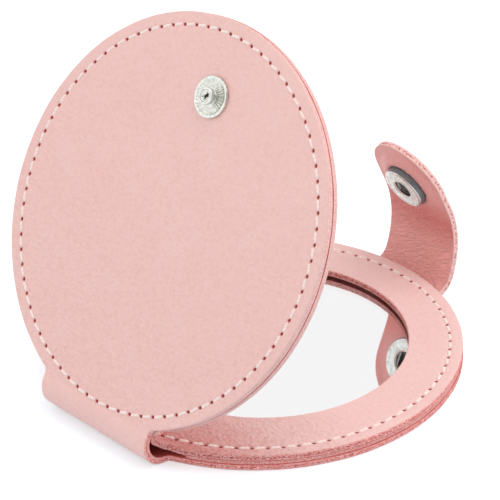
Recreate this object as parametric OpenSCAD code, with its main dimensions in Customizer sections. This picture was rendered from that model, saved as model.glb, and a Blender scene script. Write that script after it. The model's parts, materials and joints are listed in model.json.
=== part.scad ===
// Round leather compact mirror: a base that holds the mirror and a lid, joined by a leather fold,
// and a strap that wraps over the lid and closes with a press snap.
// Millimetres. X runs along the fold, the fold is at +Y, the strap is at -Y, and +Z is up.
// The origin is under the centre of the base, on the surface that it stands on.

/* [Discs] */
// Diameter of the base and of the lid
disc_d = 80; // [76:1:90]
// Thickness of each leather layer
leather_t = 1.4; // [1.2:0.1:1.6]
// Angle between the base and the lid
open_angle = 60; // [50:1:70]
// How far outside the base's rim the line lies that the lid turns about
axis_gap = 1.4; // [1.2:0.1:1.8]
// Air left between the lid and the base when the compact is shut
close_gap = 0.3; // [0.25:0.05:0.5]

/* [Mirror] */
// Diameter of the mirror glass
glass_d = 62; // [59:0.5:64]
// Thickness of the mirror glass
glass_t = 1; // [0.8:0.1:1.2]
// Diameter of the round window in the mirror frame
window_d = 56; // [50:0.5:57]
// How far the mirror and its window sit off centre, away from the fold
window_shift = 1.8; // [0:0.1:2.5]
// Depth of the pocket in the base leather that the mirror is glued into
pocket_depth = 0.5; // [0.4:0.05:0.6]
// Clearance round the glass
glass_fit = 0.2; // [0.1:0.05:0.4]
// Thickness of the glue tape under the mirror
tape_t = 0.15; // [0.1:0.05:0.2]
// How far the tape stays inside the edge of the glass
tape_inset = 3; // [2:0.5:5]
// Thickness of the silver and paint on the back of the glass
silver_t = 0.05; // [0.04:0.01:0.08]

/* [Fold] */
// Width of the leather bridge between the base and the lid
bridge_w = 30; // [26:1:34]
// Radius in the corner between a disc and the bridge
neck_fillet = 1.2; // [0.8:0.1:1.6]
// Slope at which the lining rises from the base to the crease
lift_angle = 40; // [35:1:45]
// Bend radius where the lining leaves the base
lift_r = 3; // [2:0.25:4]
// Inner radius of the sharp crease in the lining
crease_r = 0.3; // [0.2:0.05:0.4]
// Distance along the lid from the crease to the edge of the lid's own lining
crease_land = 0.3; // [0.2:0.05:0.4]

/* [Stitching] */
// Distance of the seam from the rim
stitch_inset = 2.6; // [2.5:0.1:3]
// Length from one stitch hole to the next
stitch_pitch = 2.98; // [2.5:0.01:4]
// Part of the pitch that the visible thread covers
stitch_share = 0.74; // [0.6:0.02:0.85]
// Thickness of the thread
thread_d = 0.5; // [0.4:0.05:0.6]
// How far the thread stands out of the leather
thread_proud = 0.11; // [0.05:0.01:0.12]
// Width of the groove that the seam lies in
groove_w = 0.64; // [0.62:0.01:0.8]

/* [Strap] */
// Width of the strap
strap_w = 18; // [14:0.5:20]
// Radius in the corner between the base's rim and the strap
strap_fillet = 1.5; // [1:0.1:2]
// Inner radius of the bend where the strap leaves the base
root_r = 3.2; // [2.8:0.1:4]
// Outward lean of the strap above that bend
root_lean = 21.5; // [19:0.5:23]
// Inner radius of the long curve of the strap
belly_r = 20; // [19.5:0.5:21]
// Inward lean of the flat end that carries the socket
tab_lean = 24; // [22:0.5:25]
// Length from the end of the long curve to the centre of the socket
tab_lead = 4.3; // [4:0.1:6]
// Length from the centre of the socket to the tip of the strap
tab_tip = 10; // [9.5:0.5:13]

/* [Snap] */
// Distance of the stud's centre from the lid's rim
stud_inset = 14.9; // [14:0.1:17]
// Diameter of the stud's flange
flange_d = 8.3; // [8:0.1:9]
// Height of the flange's rim
flange_t = 0.7; // [0.6:0.05:0.9]
// Width of the flange's raised rim
flange_rim = 0.55; // [0.4:0.05:0.8]
// Depth of the dish inside the flange's rim
dish_depth = 0.25; // [0.15:0.05:0.35]
// Number of radial flutes pressed into the dish
flute_count = 20; // [12:1:28]
// Width of a flute
flute_w = 0.3; // [0.2:0.05:0.4]
// Depth of a flute
flute_depth = 0.1; // [0.05:0.01:0.12]
// Diameter of the stud's neck, which the spring grips
neck_d = 2.8; // [2.7:0.05:2.9]
// Diameter of the stud's head
head_d = 3.5; // [3.3:0.05:3.6]
// Height of the head above the flange's rim
head_h = 1.4; // [1.35:0.05:1.45]
// Thickness of the stud's head
head_t = 0.5; // [0.4:0.05:0.5]
// Outside diameter of the hollow posts that clench the snap
post_d = 1.9; // [1.7:0.05:2]
// Bore of the hollow posts
post_bore = 1.1; // [0.9:0.05:1.2]
// Clearance round a post
post_fit = 0.05; // [0.03:0.01:0.08]
// Diameter of the rolled end of a post
roll_d = 2.5; // [2.3:0.05:2.6]
// Thickness of the rolled end of a post
roll_t = 0.25; // [0.2:0.05:0.25]
// Diameter of the stud post's hidden flange
post_flange_d = 6.8; // [6:0.1:8]
// Thickness of the stud post's hidden flange
post_flange_t = 0.4; // [0.3:0.05:0.5]
// Diameter of the socket
socket_d = 9.4; // [9:0.1:10]
// Height of the socket
socket_h = 2.2; // [2.15:0.05:2.4]
// Radius on the socket's front edge
socket_edge = 0.45; // [0.3:0.05:0.5]
// Diameter of the hole that the stud snaps into
mouth_d = 4; // [3.8:0.05:4.2]
// Thickness of the socket's front wall
lip_t = 0.35; // [0.3:0.01:0.36]
// Thickness of the socket's back wall
back_t = 0.45; // [0.4:0.05:0.5]
// Diameter of the hollow inside the socket
cavity_d = 7.4; // [7.2:0.1:7.6]
// Thickness of the spring wire
wire_d = 0.4; // [0.3:0.02:0.4]
// Clearance between the spring and what is beside it
wire_fit = 0.05; // [0.03:0.01:0.05]
// Clearance between the stud and the socket when they are snapped together
snap_gap = 0.06; // [0.04:0.01:0.08]
// Diameter of the cap on the outside of the strap
cap_d = 11.2; // [10:0.1:12]
// Height of the cap
cap_h = 1.7; // [1.4:0.1:2]
// Height of the cap's straight edge
cap_edge = 0.5; // [0.4:0.05:0.7]

/* [Hidden] */
// Colours, as red, green and blue shares
leather_share = [0.94, 0.77, 0.75];
lining_share = [0.88, 0.66, 0.64];
edge_share = [0.78, 0.52, 0.5];
thread_share = [0.99, 0.88, 0.86];
metal_share = [0.78, 0.77, 0.74];
spring_share = [0.5, 0.5, 0.5];
glass_share = [0.85, 0.92, 0.95];
silver_share = [0.93, 0.94, 0.95];
tape_share = [0.9, 0.9, 0.86];

// One overrun for every cut that passes through a face
over = 1;
$fn = 96;

disc_r = disc_d / 2;
lid_t = 2 * leather_t;
glass_top = leather_t - pocket_depth + tape_t + silver_t + glass_t;
spacer_t = glass_top - leather_t;
base_h = glass_top + leather_t;
closed_h = base_h + close_gap + lid_t;

// The line that the lid turns about
axis_y = disc_r + axis_gap;
axis_z = base_h + close_gap;

// The bridge leaves a disc where the corner fillet ends on the bridge's side
bridge_r = bridge_w / 2;
neck_y = sqrt(pow(disc_r + neck_fillet, 2) - pow(bridge_r + neck_fillet, 2));
lid_edge = axis_y - neck_y;
neck_share = 0.3;

// Outer fold: one arc, tangent to the underside of the base and to the outside of the lid
fold_corner = axis_y + lid_t * sin(open_angle) + (axis_z + lid_t * cos(open_angle)) / tan(open_angle);
fold_leg = fold_corner - neck_y;
fold_r = fold_leg * tan(open_angle / 2);
fold_land = lid_edge - (fold_leg - (axis_z + lid_t * cos(open_angle)) / sin(open_angle));

// Lining of the fold: a bend, a straight rise and the crease
crease_s = lid_edge - crease_land;
crease_y = axis_y - crease_s * cos(open_angle) - crease_r * sin(open_angle);
crease_z = axis_z + crease_s * sin(open_angle) - crease_r * cos(open_angle);
rise_top_y = crease_y + crease_r * sin(lift_angle);
rise_top_z = crease_z - crease_r * cos(lift_angle);
rise_bottom_z = base_h + lift_r * (1 - cos(lift_angle));
rise = (rise_top_z - rise_bottom_z) / sin(lift_angle);
lift_y = rise_top_y - rise * cos(lift_angle) - lift_r * sin(lift_angle);
// Turn from one point of a bend to the next
bend_step = 4;

// Seam: grooves, stitches and their count
stitch_r = disc_r - stitch_inset;
stitch_count = round(2 * PI * stitch_r / stitch_pitch);
groove_depth = thread_d - thread_proud;

// Strap: the root bend, the long curve and the flat tab, seen from the side as Y and Z
strap_r = strap_w / 2;
strap_y = sqrt(pow(disc_r + strap_fillet, 2) - pow(strap_r + strap_fillet, 2));
root_turn = 90 - root_lean;
root_c = [-strap_y, leather_t + root_r];
belly_c = root_c + (belly_r - root_r) * [cos(root_lean), sin(root_lean)];
tab_start = belly_c + belly_r * [-cos(tab_lean), sin(tab_lean)];
tab_along = [sin(tab_lean), cos(tab_lean)];
tab_inward = [cos(tab_lean), -sin(tab_lean)];
snap_at = tab_start + tab_lead * tab_along;
mouth_at = snap_at + socket_h * tab_inward;
tip_at = snap_at + tab_tip * tab_along;

// The strap's bending zones: where they end on the root bend, and the lean where the upper one ends
root_zone_share = 0.35;
link_end_share = 0.62;
bend_end_lean = 2;

// The strap bends at its root line and at a fold line in its long curve. Together they turn the
// socket flat onto the stud, and both turns and the fold line's place follow from the stud's place.
root_pivot_turn = root_turn * root_zone_share / 2;
root_at = root_c + (root_r + leather_t / 2) * [-sin(root_pivot_turn), -cos(root_pivot_turn)];
snap_turn = 90 - tab_lean;
stud_y = stud_inset - disc_r;
goal_at = [stud_y, closed_h + flange_t + snap_gap + socket_h];
fold_radius = belly_r + leather_t / 2;
goal_run = goal_at - root_at - turned(snap_at - belly_c, snap_turn);
belly_run = belly_c - root_at;
aim = turned(goal_run, -snap_turn) - belly_run;
aim_cos = (belly_run * belly_run - goal_run * goal_run) / (2 * fold_radius * norm(aim));
fold_lean = acos(aim_cos) - 180 - atan2(aim[1], aim[0]);
fold_at = belly_c + fold_radius * [-cos(fold_lean), sin(fold_lean)];
rest_run = fold_at - root_at;
shut_run = goal_at - root_at - turned(snap_at - fold_at, snap_turn);
root_close = atan2(rest_run[1], rest_run[0]) - atan2(shut_run[1], shut_run[0]);
fold_close = snap_turn - root_close;

// Snap: heights from the leather that the stud and the socket stand on
head_top = flange_t + head_h;
cavity_top = socket_h - lip_t;
wire_z = cavity_top - wire_fit - wire_d / 2;
leg_x = neck_d / 2 + wire_fit + wire_d / 2;
spring_bow = cavity_d / 2 - leg_x - wire_d / 2 - wire_fit;
post_hole = post_d / 2 + post_fit;
flute_start = neck_d / 2 + flute_w;
dome_h = cap_h - cap_edge;
dome_r = (pow(cap_d / 2, 2) + pow(dome_h, 2)) / (2 * dome_h);
tape_r = glass_d / 2 - tape_inset;

echo(lid_axis = [axis_y, axis_z], root_axis = root_at, fold_axis = fold_at);
echo(root_close = root_close, fold_close = fold_close, fold_lean = fold_lean, stud_y = stud_y);
echo(fold_r = fold_r, fold_land = fold_land, lift_y = lift_y);
echo(neck_y = neck_y, strap_y = strap_y, base_h = base_h, closed_h = closed_h, stitch_count = stitch_count);
echo(tab_start = tab_start, snap_at = snap_at, mouth_at = mouth_at, crease = [crease_y, crease_z]);

// A vector in Y and Z, turned from +Z towards +Y
function turned(v, angle) = [cos(angle) * v[0] + sin(angle) * v[1], cos(angle) * v[1] - sin(angle) * v[0]];

// A flat outline in Y and Z, made solid along X
module across(width) {
    rotate([90, 0, 90]) linear_extrude(height = width, center = true) children();
}

// Points of a bend in Y and Z, from angle a to angle b, measured from +Y towards +Z
function bend_points(centre, r, a, b) = let (count = ceil(abs(b - a) / bend_step))
    [for (i = [0 : count]) let (at = a + (b - a) * i / count) centre + r * [cos(at), sin(at)]];

// A point of the open lid in Y and Z, given where it is when the lid lies on the line Z = 0
function lid_point(y, z) = [axis_y, axis_z] + turned([y - axis_y, z], open_angle);

// Corner between the disc and a tongue of the leather that leaves it along +Y, with its fillets.
// The corner stops just short of the line where the fillet touches the disc.
module neck(half_w, fillet, end_y, thick) {
    for (side = [0, 1]) mirror([side, 0, 0]) difference() {
        linear_extrude(height = thick) polygon([[0, end_y * neck_share], [-half_w, end_y], [half_w + fillet, end_y]]);
        translate([half_w + fillet, end_y, -over]) cylinder(r = fillet, h = thick + 2 * over);
    }
}

// A disc of leather with the start of the bridge, cut square at the given line
module disc_plate(cut_y, thick) {
    intersection() {
        union() {
            cylinder(r = disc_r, h = thick);
            neck(bridge_r, neck_fillet, neck_y, thick);
        }
        translate([-disc_r - over, -disc_r - over, -over])
            cube([disc_d + 2 * over, disc_r + over + cut_y, thick + 2 * over]);
    }
}

// Ring-shaped groove for the seam, cut from the given height
module seam_groove(depth, z) {
    translate([0, 0, z]) difference() {
        cylinder(r = stitch_r + groove_w / 2, h = depth);
        translate([0, 0, -over]) cylinder(r = stitch_r - groove_w / 2, h = depth + 2 * over);
    }
}

// A ring of stitches on one face, those beyond the given line left out
module stitches(z, limit_y) {
    step = 360 / stitch_count;
    span = step * stitch_share;
    for (i = [0 : stitch_count - 1]) {
        mid = i * step - 90;
        if (stitch_r * sin(mid) < limit_y - stitch_pitch / 2)
            translate([0, 0, z]) rotate([0, 0, mid - span / 2])
                rotate_extrude(angle = span) translate([stitch_r, 0]) circle(d = thread_d, $fn = 24);
    }
}

// The lid's own place: its inner face is at Z = 0 and its centre is on the origin
module on_lid() {
    translate([0, axis_y, axis_z]) rotate([-open_angle, 0, 0]) translate([0, -axis_y, 0]) children();
}

// The snap's place on the strap: +Z leaves the inner face and +Y runs to the strap's tip
module on_tab() {
    translate([0, snap_at[0], snap_at[1]]) rotate([-90 - tab_lean, 0, 0]) rotate([0, 0, 180]) children();
}

module base_cover() {
    color(leather_share) difference() {
        union() {
            disc_plate(neck_y, leather_t);
            mirror([0, 1, 0]) neck(strap_r, strap_fillet, strap_y, leather_t);
        }
        translate([0, -window_shift, leather_t - pocket_depth])
            cylinder(r = glass_d / 2 + glass_fit, h = pocket_depth + over);
        seam_groove(thread_d + over, -over);
    }
}

module mirror_tape() {
    color(tape_share) translate([0, -window_shift, leather_t - pocket_depth]) cylinder(r = tape_r, h = tape_t);
}

module mirror_silvering() {
    color(silver_share) translate([0, -window_shift, glass_top - glass_t - silver_t])
        cylinder(d = glass_d, h = silver_t);
}

module mirror_glass() {
    color(glass_share) translate([0, -window_shift, glass_top - glass_t]) cylinder(d = glass_d, h = glass_t);
}

module spacer_ring() {
    color(edge_share) translate([0, 0, leather_t]) difference() {
        disc_plate(lift_y, spacer_t);
        translate([0, -window_shift, -over]) cylinder(r = glass_d / 2 + glass_fit, h = spacer_t + 2 * over);
    }
}

module mirror_frame() {
    color(leather_share) difference() {
        translate([0, 0, glass_top]) disc_plate(lift_y, leather_t);
        translate([0, -window_shift, glass_top - over]) cylinder(d = window_d, h = leather_t + 2 * over);
        seam_groove(groove_depth + over, base_h - groove_depth);
    }
}

module base_stitching() {
    color(thread_share) {
        stitches(base_h - groove_depth + thread_d / 2, lift_y);
        stitches(thread_d / 2, disc_r);
    }
}

module hinge_outer() {
    centre = [neck_y, fold_r];
    color(leather_share) across(bridge_w) polygon(concat(
        bend_points(centre, fold_r, -90, 90 - open_angle),
        [lid_point(neck_y, lid_t), lid_point(neck_y, leather_t)],
        bend_points(centre, fold_r - leather_t, 90 - open_angle, -90)));
}

// What lies inside the outline of the base and its bridge, at any height
module in_outline() {
    intersection() {
        children();
        union() {
            disc_plate(neck_y, closed_h + disc_r);
            translate([-bridge_r, 0, 0]) cube([bridge_w, disc_d, closed_h + disc_r]);
        }
    }
}

module hinge_lining() {
    foot = [lift_y, base_h + lift_r];
    crease = [crease_y, crease_z];
    color(lining_share) in_outline() across(disc_d) polygon(concat(
        bend_points(foot, lift_r, -90, lift_angle - 90),
        bend_points(crease, crease_r, lift_angle - 90, 90 - open_angle),
        [lid_point(neck_y, 0), lid_point(neck_y, leather_t)],
        bend_points(crease, crease_r + leather_t, 90 - open_angle, lift_angle - 90),
        bend_points(foot, lift_r + leather_t, lift_angle - 90, -90)));
}

module lid_cover() {
    color(leather_share) on_lid() difference() {
        translate([0, 0, leather_t]) disc_plate(neck_y, leather_t);
        seam_groove(groove_depth + over, lid_t - groove_depth);
        translate([0, stud_y, 0]) cylinder(r = post_hole, h = lid_t + over);
    }
}

module lid_lining() {
    color(lining_share) on_lid() difference() {
        disc_plate(neck_y, leather_t);
        seam_groove(groove_depth + over, -over);
        translate([0, stud_y, leather_t - post_flange_t])
            cylinder(r = post_flange_d / 2 + post_fit, h = post_flange_t + over);
    }
}

module lid_stitching() {
    color(thread_share) on_lid() {
        stitches(lid_t - groove_depth + thread_d / 2, disc_r);
        stitches(groove_depth - thread_d / 2, disc_r);
    }
}

// Male half of the snap: a fluted flange, a neck and a rounded head, bored for its post
module snap_stud() {
    rim_r = flange_d / 2;
    dish_r = rim_r - flange_rim;
    floor_z = flange_t - dish_depth;
    edge = head_t / 2;
    color(metal_share) on_lid() translate([0, stud_y, lid_t]) difference() {
        rotate_extrude() difference() {
            union() {
                square([rim_r, floor_z]);
                translate([dish_r, 0]) square([flange_rim - dish_depth / 2, flange_t]);
                translate([rim_r - dish_depth / 2, flange_t - dish_depth / 2]) circle(d = dish_depth, $fn = 32);
                translate([rim_r - dish_depth / 2, 0]) square([dish_depth / 2, flange_t - dish_depth / 2]);
                square([neck_d / 2, head_top - edge]);
                translate([0, head_top - head_t]) square([head_d / 2 - edge, head_t]);
                translate([head_d / 2 - edge, head_top - edge]) circle(r = edge, $fn = 32);
            }
            translate([0, -over]) square([post_hole, head_top + 2 * over]);
            translate([0, head_top - roll_t]) square([roll_d / 2 + post_fit, roll_t + over]);
        }
        for (i = [0 : flute_count - 1]) rotate([0, 0, i * 360 / flute_count])
            translate([flute_start, 0, floor_z + flute_w / 2 - flute_depth]) rotate([0, 90, 0])
                cylinder(d = flute_w, h = dish_r - flute_start - flute_w / 2, $fn = 24);
    }
}

// Hollow post that clenches the stud to the lid's cover, its flange hidden behind the cover
module stud_post() {
    rise_h = leather_t + head_top;
    color(metal_share) on_lid() translate([0, stud_y, leather_t]) rotate_extrude() difference() {
        union() {
            translate([0, -post_flange_t]) square([post_flange_d / 2, post_flange_t]);
            square([post_d / 2, rise_h - roll_t]);
            translate([0, rise_h - roll_t]) square([roll_d / 2, roll_t]);
        }
        translate([0, 0]) square([post_bore / 2, rise_h + over]);
    }
}

// One face of the strap's root bend, between two turns counted from the base
function root_points(r, from_turn, to_turn) = bend_points(root_c, r, 270 - from_turn, 270 - to_turn);

// One face of the strap's long curve, between two leans
function belly_points(r, from_lean, to_lean) = bend_points(belly_c, r, 180 - from_lean, 180 - to_lean);

// A stretch of the root bend
module root_part(from_turn, to_turn) {
    across(strap_w) polygon(concat(root_points(root_r, from_turn, to_turn),
        root_points(root_r + leather_t, to_turn, from_turn)));
}

module strap_root() {
    color(leather_share) root_part(0, root_turn * root_zone_share);
}

module strap_link() {
    color(leather_share) root_part(root_turn * root_zone_share, root_turn * link_end_share);
}

module strap_bend() {
    from = root_turn * link_end_share;
    color(leather_share) across(strap_w) polygon(concat(
        root_points(root_r, from, root_turn),
        belly_points(belly_r, -root_lean, bend_end_lean),
        belly_points(belly_r + leather_t, bend_end_lean, -root_lean),
        root_points(root_r + leather_t, root_turn, from)));
}

module strap_tab() {
    color(leather_share) difference() {
        intersection() {
            across(strap_w) polygon(concat(
                belly_points(belly_r, bend_end_lean, tab_lean),
                [tip_at, tip_at - leather_t * tab_inward],
                belly_points(belly_r + leather_t, tab_lean, bend_end_lean)));
            on_tab() translate([0, 0, -belly_r]) union() {
                translate([0, tab_tip - strap_r, 0]) cylinder(r = strap_r, h = 2 * belly_r);
                translate([-strap_w, tab_tip - strap_r - disc_d, 0]) cube([2 * strap_w, disc_d, 2 * belly_r]);
            }
        }
        on_tab() translate([0, 0, -leather_t - over]) cylinder(r = post_hole, h = leather_t + 2 * over);
    }
}

// Female half of the snap: a round box with a hollow for the spring
module snap_socket() {
    color(metal_share) on_tab() rotate_extrude() difference() {
        union() {
            square([socket_d / 2 - socket_edge, socket_h]);
            square([socket_d / 2, socket_h - socket_edge]);
            translate([socket_d / 2 - socket_edge, socket_h - socket_edge]) circle(r = socket_edge, $fn = 32);
        }
        translate([0, -over]) square([post_hole, socket_h + 2 * over]);
        translate([0, back_t]) square([cavity_d / 2, cavity_top - back_t]);
        translate([0, back_t]) square([mouth_d / 2, socket_h + over]);
    }
}

// Hairpin spring of round wire, whose legs grip the stud's neck
module socket_spring() {
    color(spring_share) on_tab() translate([0, 0, wire_z]) {
        for (side = [-1, 1]) translate([side * leg_x, spring_bow, 0]) rotate([90, 0, 0])
            cylinder(d = wire_d, h = 2 * spring_bow, $fn = 24);
        translate([0, spring_bow, 0]) rotate_extrude(angle = 180) translate([leg_x, 0]) circle(d = wire_d, $fn = 24);
    }
}

// Domed cap on the outside of the strap, with the hollow post that clenches the socket
module snap_cap() {
    cap_r = cap_d / 2;
    color(metal_share) on_tab() rotate_extrude() {
        translate([0, -leather_t - cap_edge]) square([cap_r, cap_edge]);
        intersection() {
            translate([0, -leather_t - cap_h + dome_r]) circle(r = dome_r, $fn = 180);
            translate([0, -leather_t - cap_h]) square([cap_r, dome_h]);
        }
        difference() {
            union() {
                translate([0, -leather_t]) square([post_d / 2, leather_t + back_t + roll_t]);
                translate([0, back_t]) square([roll_d / 2, roll_t]);
            }
            translate([0, -leather_t]) square([post_bore / 2, leather_t + back_t + roll_t + over]);
        }
    }
}

base_cover();
mirror_tape();
mirror_silvering();
mirror_glass();
spacer_ring();
mirror_frame();
base_stitching();
hinge_outer();
hinge_lining();
lid_cover();
lid_lining();
lid_stitching();
snap_stud();
stud_post();
strap_root();
strap_link();
strap_bend();
strap_tab();
snap_socket();
socket_spring();
snap_cap();
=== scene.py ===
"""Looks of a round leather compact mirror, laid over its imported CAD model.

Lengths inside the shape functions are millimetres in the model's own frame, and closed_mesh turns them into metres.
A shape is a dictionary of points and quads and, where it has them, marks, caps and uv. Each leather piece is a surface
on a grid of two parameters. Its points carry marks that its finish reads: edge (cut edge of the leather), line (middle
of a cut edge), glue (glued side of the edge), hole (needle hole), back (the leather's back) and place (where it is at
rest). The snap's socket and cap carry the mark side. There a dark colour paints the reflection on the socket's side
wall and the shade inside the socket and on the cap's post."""

import json
import math
from types import SimpleNamespace

import bpy
import numpy as np
from mathutils import Matrix, Vector


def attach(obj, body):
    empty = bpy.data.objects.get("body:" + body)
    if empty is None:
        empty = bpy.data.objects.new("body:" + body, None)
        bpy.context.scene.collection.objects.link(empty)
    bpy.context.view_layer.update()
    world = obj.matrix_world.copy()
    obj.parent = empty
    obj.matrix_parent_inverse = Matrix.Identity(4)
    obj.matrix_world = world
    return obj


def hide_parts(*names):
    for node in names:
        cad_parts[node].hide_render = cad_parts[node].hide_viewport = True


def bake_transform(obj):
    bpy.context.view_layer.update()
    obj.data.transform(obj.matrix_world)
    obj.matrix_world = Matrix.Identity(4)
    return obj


bl_info = {
    "name": "Leather Compact Mirror",
    "version": (1, 0, 0),
    "blender": (4, 5, 0),
    "location": "3D View > Sidebar > Compact",
    "description": "Leather, thread, mirror and snap pieces over the packed compact mirror",
    "category": "Object",
}

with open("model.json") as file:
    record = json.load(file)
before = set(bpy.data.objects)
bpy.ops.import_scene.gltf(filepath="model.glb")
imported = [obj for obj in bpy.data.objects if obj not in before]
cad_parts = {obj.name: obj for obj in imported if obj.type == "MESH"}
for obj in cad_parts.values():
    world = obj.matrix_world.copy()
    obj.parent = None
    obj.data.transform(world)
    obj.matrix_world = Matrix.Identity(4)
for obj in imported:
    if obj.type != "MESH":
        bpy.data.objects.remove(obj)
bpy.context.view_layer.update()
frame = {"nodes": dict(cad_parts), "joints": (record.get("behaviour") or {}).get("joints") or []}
hinge_at = {joint["name"]: joint["pos_m"] for joint in frame["joints"]}

# Properties


def length(name, description, millimetres):
    """A length that the user sees in the scene's own unit."""
    return bpy.props.FloatProperty(name=name, description=description, default=millimetres / 1000, min=0,
                                   unit="LENGTH", subtype="DISTANCE", precision=4)


def turn(name, description, degrees):
    """An angle."""
    return bpy.props.FloatProperty(name=name, description=description, default=math.radians(degrees),
                                   unit="ROTATION", subtype="ANGLE")


def number(name, description, default, least):
    """A whole number."""
    return bpy.props.IntProperty(name=name, description=description, default=default, min=least)


def colour(name, description, red, green, blue):
    """A colour, given as it looks on a screen from 0 to 255 and kept as light."""
    shares = [(c / 255 / 12.92) if c < 11 else ((c / 255 + 0.055) / 1.055) ** 2.4 for c in (red, green, blue)]
    return bpy.props.FloatVectorProperty(name=name, description=description, default=shares, size=3, min=0, max=1,
                                         subtype="COLOR")


class CompactDiscs(bpy.types.PropertyGroup):
    """Sizes of the base, the lid and the fold"""
    disc: length("Disc diameter", "Diameter of the base and of the lid", 80)
    leather: length("Leather", "Thickness of each leather layer", 1.4)
    opening: turn("Opening", "Angle between the base and the lid at rest", 60)
    glass: length("Glass diameter", "Diameter of the mirror glass", 62)
    glass_thickness: length("Glass thickness", "Thickness of the mirror glass", 1)
    window: length("Window diameter", "Diameter of the round window in the mirror frame", 56)
    window_shift: length("Window shift", "How far the window sits away from the fold", 1.8)
    pocket: length("Pocket depth", "Depth of the pocket that the mirror is glued into", 0.5)
    bridge: length("Bridge width", "Width of the leather between the base and the lid", 30)
    bridge_fillet: length("Bridge fillet", "Radius in the corner between a disc and the bridge", 1.2)
    lift: turn("Lift", "Slope at which the lining rises to the crease", 40)
    lift_radius: length("Lift radius", "Bend radius where the lining leaves the base", 3)
    crease_radius: length("Crease radius", "Inner radius of the crease in the lining", 0.3)
    crease_land: length("Crease land", "Distance from the crease to the lid's own lining", 0.3)
    round_grain: length("Face edge", "Rounding of the edge beside the leather's good side", 0.3)
    round_flesh: length("Glue edge", "Rounding of the edge beside the leather's glued side", 0.15)


class CompactSeams(bpy.types.PropertyGroup):
    """Sizes of the stitching"""
    inset: length("Seam inset", "Distance of the seam from the rim", 2.6)
    count: number("Stitches", "Number of stitches in one ring", 79, 8)
    thread: length("Thread", "Thickness of the thread", 0.56)
    proud: length("Stands out", "How far the thread stands out of the leather", 0.19)
    proud_inside: length("Stands out inside", "How far it stands out where the closed lid meets the base", 0.06)
    slant: length("Slant", "How far a stitch leans across the seam", 0.1)
    hole: length("Needle hole", "Diameter of a needle hole", 0.8)
    reach: length("Hole left open", "Distance from the middle of a hole to where the thread dives in", 0.36)


class CompactStrap(bpy.types.PropertyGroup):
    """Sizes of the strap"""
    width: length("Strap width", "Width of the strap", 18)
    fillet: length("Strap fillet", "Radius in the corner between the base and the strap", 1.5)
    root_radius: length("Root radius", "Inner radius of the bend where the strap leaves the base", 3.2)
    root_lean: turn("Root lean", "Outward lean of the strap above the root bend", 21.5)
    belly_radius: length("Curve radius", "Inner radius of the strap's long curve", 20)
    tab_lean: turn("Tab lean", "Inward lean of the flat end", 24)
    tab_lead: length("Tab lead", "Length from the long curve to the centre of the socket", 4.3)
    tab_tip: length("Tab tip", "Length from the centre of the socket to the tip", 10)


class CompactSnap(bpy.types.PropertyGroup):
    """Sizes of the press snap"""
    stud_inset: length("Stud inset", "Distance of the stud's centre from the lid's rim", 14.9)
    flange: length("Stud flange", "Diameter of the stud's flange", 8.3)
    flutes: number("Flutes", "Number of flutes in the stud's dish", 30, 6)
    socket: length("Socket diameter", "Diameter of the socket", 9.4)
    socket_height: length("Socket height", "Height of the socket", 2.2)
    mouth: length("Socket mouth", "Diameter of the hole that the stud snaps into", 4)
    cap: length("Cap diameter", "Diameter of the cap on the outside of the strap", 11.2)
    cap_height: length("Cap height", "Height of the cap", 1.7)


class CompactColours(bpy.types.PropertyGroup):
    """Colours of the finishes"""
    leather: colour("Leather", "Good side of the leather", 243, 199, 192)
    leather_ring: colour("Ring leather", "Good side of the mirror frame's and the lining's leather", 241, 204, 199)
    # Random tone of the grain, and painted shade in its valleys: where the pebbles' cells meet and, towards the fold,
    # in the troughs of the coarse wrinkles
    leather_deep: colour("Leather shade", "Valleys of the grain", 226, 158, 152)
    lining: colour("Strap lining", "Inner face of the strap", 250, 184, 177)
    flesh: colour("Flesh side", "Suede side of the leather inside the fold", 186, 82, 74)
    edge_pale: colour("Edge, pale", "Palest fibres of a cut edge", 255, 214, 206)
    edge_deep: colour("Edge, deep", "Deepest fibres of a raw cut edge", 236, 140, 133)
    edge_burnished: colour("Edge, burnished", "Deepest tone of a burnished edge", 244, 194, 188)
    glue: colour("Glue line", "Line between two layers", 196, 76, 73)
    # Painted shade: a deeper tone laid under the lid near the fold and on the strap's inner face in its curve, where
    # shade falls
    bent: colour("Bent leather", "Leather that is bent hard, at the fold and in the strap's curve", 226, 120, 113)
    # Painted dark reflection on the socket's side wall, and painted shade inside the socket and on the cap's post
    tarnish: colour("Tarnish", "Side and inside of the snap's socket", 88, 104, 112)
    # Partly painted shade: the inside of a needle hole is darker than the leather's cut fibres, on top of the pit's own
    # shade
    hole: colour("Needle hole", "Inside of a needle hole", 176, 60, 60)
    thread: colour("Thread", "Thread", 255, 235, 228)
    metal: colour("Metal", "Snap metal", 221, 221, 213)
    spring: colour("Spring", "Spring wire", 206, 208, 206)
    tape: colour("Tape", "Glue tape", 232, 230, 220)
    floor: colour("Floor", "Floor", 223, 234, 241)


GROUPS = {"compact_discs": CompactDiscs, "compact_seams": CompactSeams, "compact_strap": CompactStrap,
          "compact_snap": CompactSnap, "compact_colours": CompactColours}

# Thickness of tape and silvering behind the glass, and play round the glass in its pocket
BEHIND_GLASS = 0.2
POCKET_PLAY = 0.2

# Heights at which the fold's outer leather and its lining have come to the lid
OUTER_BEND_TOP, LINING_BEND_TOP = 7.4, 6.8


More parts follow.
